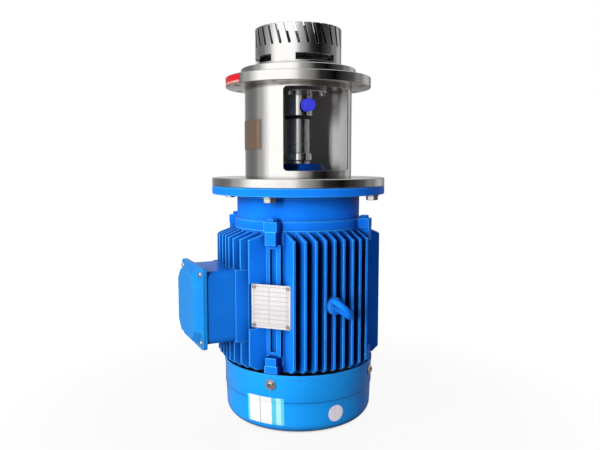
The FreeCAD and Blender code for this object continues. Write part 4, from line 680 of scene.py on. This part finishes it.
# Four of each: circle is the radius of the circle that they stand on, and seat is their height;
# the lid's four stand in a rectangle, at a reach from the shaft
driveBolt = {"circle": 0.120, "seat": 0.346, "flats": 0.013, "head": 0.0053, "shank": 0.004,
             "length": 0.030, "chamfer": 0.00075}
fanBolt = dict(driveBolt, seat=0.120, length=0.017)
flangeBolt = {"circle": 0.1325, "seat": 0.3842, "flats": 0.018, "head": 0.0075, "shank": 0.006,
              "length": 0.0258, "chamfer": 0.001}
cowlScrew = {"circle": 0.1304, "seat": 0.083, "washer": 0.009, "washerThick": 0.0016,
             "radius": 0.0066, "head": 0.0034, "shank": 0.003, "length": 0.012,
             "socket": 0.0074, "depth": 0.0032}
lidScrew = {"reach": 0.1938, "across": 0.0515, "middle": 0.209, "up": 0.055, "washer": 0.0,
            "washerThick": 0.0, "radius": 0.005, "head": 0.0035, "shank": 0.0025,
            "length": 0.0178, "socket": 0.004, "depth": 0.002}
# What all fasteners share; collar and cone are shares of the width across flats
trim = {"tip": 0.0008, "step": 0.0003, "bevel": 0.0004, "collar": 0.47, "cone": 0.475,
        "slope": 1.73, "coneRows": 6, "dome": 62, "domeRows": 7}


# Rows of an outline: (radius, height over its seat, width across flats or None where it is round).
# The head's chamfer is a cone: its radius grows by slope for each metre below the top
def hexRows(values):
    across, head, shank, foot = values["flats"], values["head"], values["shank"], -values["length"]
    tip, step, collar = trim["tip"], trim["step"], across * trim["collar"]
    rows = [(0.0, foot, None), (shank - tip, foot, None), (shank, foot + tip, None),
            (shank, 0.0, None), (collar, 0.0, None), (collar, step, None), (1.0, step, across)]
    drop = np.linspace(values["chamfer"], 0, trim["coneRows"])
    rows += [(across * trim["cone"] + trim["slope"] * d, head - d, across) for d in drop]
    return rows + [(0.0, head, None)]


# The dome is part of an ellipse: radius cos(t) and head sin(t) / sin(dome), with t from 0 to dome
def domeRows(values):
    radius, head, shank, foot = values["radius"], values["head"], values["shank"], -values["length"]
    washer, seat = values["washer"], values["washerThick"]
    step, bevel = trim["step"], trim["bevel"]
    rows = [(0.0, foot, None), (shank, foot, None), (shank, 0.0, None)]
    if washer:
        rows += [(washer - step, 0.0, None), (washer, bevel, None), (washer, seat - step, None),
                 (washer - bevel, seat, None)]
    turn = np.linspace(0, math.radians(trim["dome"]), trim["domeRows"])
    top = math.sin(turn[-1])
    rows += [(radius * math.cos(t), seat + head * math.sin(t) / top, None) for t in turn]
    socket, floor = values["socket"], seat + head - values["depth"]
    return rows + [(1.0, seat + head, socket), (1.0, floor, socket), (0.0, floor, None)]


# A closed form from rings of points, rows by sides
def ringPatch(points):
    rows, sides = points.shape[:2]
    return points.reshape(-1, 3), gridFaces(rows, sides, True), np.zeros((rows * sides, 2))


# A fastener: in each row the radius is the smaller of the row's own and a hexagon's,
# (flats / 2) / cos(angle within its sixth), carried round the axis and set along it
def fastenerPatch(rows, place, axis, sides=48):
    limit, height = (np.array([row[k] for row in rows])[:, None] for k in (0, 1))
    flats = np.array([row[2] or 2.0 for row in rows])[:, None]
    angle = np.linspace(0, 2 * np.pi, sides, endpoint=False)
    sixth = (angle + np.pi / 6) % (np.pi / 3) - np.pi / 6
    radius = np.minimum(limit, flats / 2 / np.cos(sixth))
    side = Vector(axis).orthogonal().normalized()
    other = Vector(axis).cross(side)
    points = (np.array(place) + radius[..., None] * np.cos(angle)[None, :, None] * np.array(side)
              + radius[..., None] * np.sin(angle)[None, :, None] * np.array(other)
              + height[..., None] * np.array(axis))
    return ringPatch(points)


# Places at the four corners of a circle, 45 degrees off the axes
def cornerSpots(values):
    turns = [math.pi / 4 + quarter * math.pi / 2 for quarter in range(4)]
    return [(values["circle"] * math.cos(turn), values["circle"] * math.sin(turn), values["seat"])
            for turn in turns]


def lidSpots(values):
    return [(-values["reach"], side * values["across"], values["middle"] + end * values["up"])
            for side in (-1, 1) for end in (-1, 1)]


def addBolts(name, rows, spots, axes, material, node):
    patches = [fastenerPatch(rows, spot, axis) for spot, axis in zip(spots, axes)]
    return makePiece(name, patches, material, [node])


upward, downward, leftward = (0.0, 0.0, 1.0), (0.0, 0.0, -1.0), (-1.0, 0.0, 0.0)
cowlSpots = cornerSpots(cowlScrew)
outwards = [(x / cowlScrew["circle"], y / cowlScrew["circle"], 0.0) for x, y, z in cowlSpots]
addBolts("driveShieldBolts", hexRows(driveBolt), cornerSpots(driveBolt), [upward] * 4, castBlue,
         "drive_shield_bolts")
addBolts("fanShieldBolts", hexRows(fanBolt), cornerSpots(fanBolt), [upward] * 4, castBlue,
         "fan_shield_bolts")
addBolts("flangeBolts", hexRows(flangeBolt), cornerSpots(flangeBolt), [downward] * 4, zinc,
         "flange_bolts")
addBolts("cowlScrews", domeRows(cowlScrew), cowlSpots, outwards, zinc,
         "cowl_screws")
addBolts("lidScrews", domeRows(lidScrew), lidSpots(lidScrew), [leftward] * 4, zinc,
         "lid_screws")
print("stage 5: plate and fasteners built")

flushCap = {
    "height": 0.536, "face": 0.049, "depth": 0.016, "radius": 0.011, "sides": 160,
    "lip": 0.0004, "brim": 0.0022, "shoulder": 0.0005, "slope": 0.0003,
    "ribs": 20, "ribDepth": 0.00035, "ribEnd": 0.0022, "round": 0.0016, "roundRows": 5,
    "rings": (0.0072, 0.0048, 0.0024),      # outer radii of the face's grooves
    # a groove's outline: (inward from its outer radius, below the face)
    "groove": ((0.0, 0.0), (0.0004, 0.0005), (0.0011, 0.0005), (0.0015, 0.0)),
}


# A push-on cap: radius(angle) = own radius - ribDepth (1 - cos(ribs x angle)) / 2 between its brim
# and its round face. Its rows are (own radius, distance from its foot, 1 where it is ribbed)
def addFlushCap(values):
    radius, depth, brim, lip = values["radius"], values["depth"], values["brim"], values["lip"]
    body, curve, sides = radius - values["shoulder"], values["round"], values["sides"]
    rows = [(0.0, 0.0, 0), (radius - lip, 0.0, 0), (radius, lip, 0), (radius, brim, 0),
            (body, brim + values["slope"], 1), (body, depth - values["ribEnd"], 1)]
    turn = np.linspace(0, np.pi / 2, values["roundRows"])
    rows += [(body - curve + curve * math.cos(t), depth - curve + curve * math.sin(t), 0)
             for t in turn]
    for ring in values["rings"]:
        rows += [(ring - inward, depth - below, 0) for inward, below in values["groove"]]
    rows.append((0.0, depth, 0))
    own, along, ribbed = (np.array([row[k] for row in rows])[:, None] for k in range(3))
    angle = np.linspace(0, 2 * np.pi, sides, endpoint=False)[None]
    reach = own - ribbed * values["ribDepth"] * (1 - np.cos(values["ribs"] * angle)) / 2
    out = values["face"] - depth + along + 0 * angle
    points = np.stack([reach * np.cos(angle), -out, values["height"] + reach * np.sin(angle)], -1)
    return makePiece("flushCap", [ringPatch(points)], bluePlastic, ["flush_cap"])


addFlushCap(flushCap)
print("stage 6: cap built")

view = {
    "heading": 25.0,          # degrees the camera stands towards -X from straight in front
    "pitch": 5.78, "distance": 1.089, "height": 0.440, "lens": 37.1, "sensor": 36.0,
    "shiftX": 0.0029, "near": 0.01,
}


def addCamera(values):
    heading, distance = math.radians(values["heading"]), values["distance"]
    place = Vector((-distance * math.sin(heading), -distance * math.cos(heading), values["height"]))
    data = bpy.data.cameras.new("camera")
    data.lens = values["lens"]
    data.sensor_width = values["sensor"]
    data.shift_x = values["shiftX"]
    data.clip_start = values["near"]
    camera = bpy.data.objects.new("camera", data)
    bpy.context.scene.collection.objects.link(camera)
    tilt = math.radians(90 - values["pitch"])
    turn = Matrix.Rotation(-heading, 4, "Z") @ Matrix.Rotation(tilt, 4, "X")
    camera.matrix_world = Matrix.Translation(place) @ turn
    bpy.context.scene.camera = camera


# Level directions from the object: towards the camera, and to the camera's right
def levelAxes():
    heading = math.radians(view["heading"])
    towards = Vector((-math.sin(heading), -math.cos(heading), 0))
    right = Vector((math.cos(heading), -math.sin(heading), 0))
    return towards, right


addCamera(view)

studio = {
    "floorSize": 9.0, "floorColour": (0.27, 0.215, 0.18), "floorRough": 0.6,
    "floorGlow": 0.84, "glowStrength": 1.09,
    "clearFrom": 0.25, "clearTo": 1.0,      # metres from the object over which it turns plain white
    "footFrom": 0.105, "footTo": 0.120,     # under the cowl the floor does not glow
    # brightness round the horizon: (degrees to the camera's right as seen from the object, level)
    "bands": [(-180, 0.60), (-168, 0.60), (-152, 0.28), (-125, 0.19), (-112, 0.19), (-100, 0.25),
              (-92, 0.45), (-82, 0.50), (-72, 0.95), (-62, 1.40), (-16, 1.40), (-5, 1.2), (4, 0.58),
              (13, 0.38), (22, 0.24), (33, 0.03), (58, 0.0), (78, 0.05), (94, 0.10), (104, 0.26),
              (116, 0.24), (125, 0.50), (140, 0.55), (152, 0.22), (180, 0.60)],
    "zenith": 0.75,
    "riseFrom": 0.45, "riseTo": 0.95,       # Z over which the bands fade into the zenith
    "plainLight": 0.08,                     # the even level that lights the object itself
}


# Light and dark panels round the object by heading for its reflections, an even level for its
# own light, and plain white where the camera sees past it
def addWorld(values):
    world = bpy.data.worlds.new("studio")
    bpy.context.scene.world = world
    world.use_nodes = True
    tree = world.node_tree
    background = tree.nodes["Background"]
    towards, right = levelAxes()
    coords = addNode(tree, "ShaderNodeTexCoord", (-1400, 0))
    parts = []
    for axis, height in ((right, 150), (towards, -150)):
        dot = addNode(tree, "ShaderNodeVectorMath", (-1200, height), operation="DOT_PRODUCT")
        tree.links.new(coords.outputs["Generated"], dot.inputs[0])
        dot.inputs[1].default_value = axis
        parts.append(dot.outputs["Value"])
    angle = mathNode(tree, "ARCTAN2", parts[0], parts[1], (-1000, 0))
    spread = addNode(tree, "ShaderNodeMapRange", (-800, 0))
    setInputs(spread, From_Min=-math.pi, From_Max=math.pi)
    tree.links.new(angle, spread.inputs["Value"])
    ramp = addNode(tree, "ShaderNodeValToRGB", (-600, 0))
    tree.links.new(spread.outputs[0], ramp.inputs[0])
    points = ramp.color_ramp.elements
    bands = values["bands"]
    points[0].position = 0.0
    points[1].position = 1.0
    for degrees, level in bands[1:-1]:
        points.new((degrees + 180) / 360)
    top = max(level for degrees, level in bands)
    for point, (degrees, level) in zip(points, bands):
        point.color = (level / top,) * 3 + (1,)
    split = addNode(tree, "ShaderNodeSeparateXYZ", (-1000, -350))
    tree.links.new(coords.outputs["Generated"], split.inputs[0])
    lift = addNode(tree, "ShaderNodeMapRange", (-800, -350), interpolation_type="SMOOTHSTEP")
    setInputs(lift, From_Min=values["riseFrom"], From_Max=values["riseTo"])
    tree.links.new(split.outputs[2], lift.inputs["Value"])
    zenith, even = (values["zenith"] / top,) * 3, (values["plainLight"] / top,) * 3
    dome = mixColour(tree, lift.outputs[0], ramp.outputs[0], zenith, (-300, 0))
    path = addNode(tree, "ShaderNodeLightPath", (-700, 400))
    plain = mixColour(tree, path.outputs["Is Diffuse Ray"], dome, even, (-100, 0))
    direct, through = path.outputs["Is Camera Ray"], path.outputs["Is Transmission Ray"]
    seen = mathNode(tree, "MAXIMUM", direct, through, (-100, 300))
    white = mixColour(tree, seen, plain, (1.0, 1.0, 1.0), (100, 0))
    tree.links.new(white, background.inputs["Color"])
    strength = addNode(tree, "ShaderNodeMapRange", (100, -200))
    setInputs(strength, To_Min=top, To_Max=1.0)
    tree.links.new(seen, strength.inputs["Value"])
    tree.links.new(strength.outputs[0], background.inputs["Strength"])


addWorld(studio)


# A pale floor that glows white to the camera, fully so away from the object, and keeps its shadow
def addFloor(values):
    half = values["floorSize"] / 2
    corners = [(-half, -half, 0), (half, -half, 0), (half, half, 0), (-half, half, 0)]
    mesh = bpy.data.meshes.new("floor")
    mesh.from_pydata(corners, [], [(0, 1, 2, 3)])
    floor = bpy.data.objects.new("floor", mesh)
    bpy.context.scene.collection.objects.link(floor)
    material, tree, shader = startMaterial("paleFloor")
    setInputs(shader, Base_Color=values["floorColour"] + (1,), Roughness=values["floorRough"])
    radius = axisSplit(tree)[0]
    share = addNode(tree, "ShaderNodeMapRange", (-200, 300), interpolation_type="SMOOTHSTEP")
    setInputs(share, From_Min=values["clearFrom"], From_Max=values["clearTo"],
              To_Min=values["floorGlow"], To_Max=1.0)
    tree.links.new(radius, share.inputs["Value"])
    foot = addNode(tree, "ShaderNodeMapRange", (-200, 0), interpolation_type="SMOOTHSTEP")
    setInputs(foot, From_Min=values["footFrom"], From_Max=values["footTo"])
    tree.links.new(radius, foot.inputs["Value"])
    lit = mathNode(tree, "MULTIPLY", share.outputs[0], foot.outputs[0], (0, 150))
    glow = addNode(tree, "ShaderNodeEmission", (0, -300))
    setInputs(glow, Color=(1, 1, 1, 1), Strength=values["glowStrength"])
    mix = addNode(tree, "ShaderNodeMixShader", (300, 0))
    path = addNode(tree, "ShaderNodeLightPath", (-300, 500))
    shown = mathNode(tree, "MULTIPLY", path.outputs["Is Camera Ray"], lit, (0, 300))
    tree.links.new(shown, mix.inputs[0])
    tree.links.new(shader.outputs[0], mix.inputs[1])
    tree.links.new(glow.outputs[0], mix.inputs[2])
    tree.links.new(mix.outputs[0], tree.nodes["Material Output"].inputs["Surface"])
    mesh.materials.append(material)


addFloor(studio)

plainWhite = (1.0, 1.0, 1.0)
lamps = [       # bearing is in degrees to the right of the camera, as seen from the object
    {"name": "keyLamp", "bearing": -28, "distance": 1.9, "height": 0.62, "aim": 0.40,
     "size": (0.16, 0.8), "power": 44, "colour": plainWhite},
    {"name": "sideLamp", "bearing": -60, "distance": 1.9, "height": 1.3, "aim": 0.30,
     "size": (0.6, 1.2), "power": 25, "colour": plainWhite},
    {"name": "fillLamp", "bearing": 95, "distance": 2.2, "height": 0.9, "aim": 0.30,
     "size": (0.9, 0.9), "power": 14, "colour": (0.30, 0.60, 1.0)},
    {"name": "topLamp", "bearing": -160, "distance": 0.9, "height": 2.1, "aim": 0.40,
     "size": (1.2, 1.2), "power": 9, "colour": plainWhite},
    {"name": "backLamp", "bearing": 158, "distance": 2.0, "height": 1.0, "aim": 0.30,
     "size": (0.9, 0.9), "power": 22, "colour": plainWhite},
]


# A soft lamp that lights the object but leaves no bright patch in its polished steel
def addLamp(values):
    towards, right = levelAxes()
    bearing = math.radians(values["bearing"])
    place = (towards * math.cos(bearing) + right * math.sin(bearing)) * values["distance"]
    place.z = values["height"]
    data = bpy.data.lights.new(values["name"], "AREA")
    data.energy = values["power"]
    data.color = values["colour"]
    data.shape = "RECTANGLE"
    data.size, data.size_y = values["size"]
    lamp = bpy.data.objects.new(values["name"], data)
    lamp.visible_glossy = False
    bpy.context.scene.collection.objects.link(lamp)
    aim = Vector((0, 0, values["aim"])) - place
    turn = aim.to_track_quat("-Z", "Y").to_matrix().to_4x4()
    lamp.matrix_world = Matrix.Translation(place) @ turn


for lamp in lamps:
    addLamp(lamp)
bpy.context.scene.view_settings.view_transform = "Standard"
print("stage 7: camera, floor and lamps set")
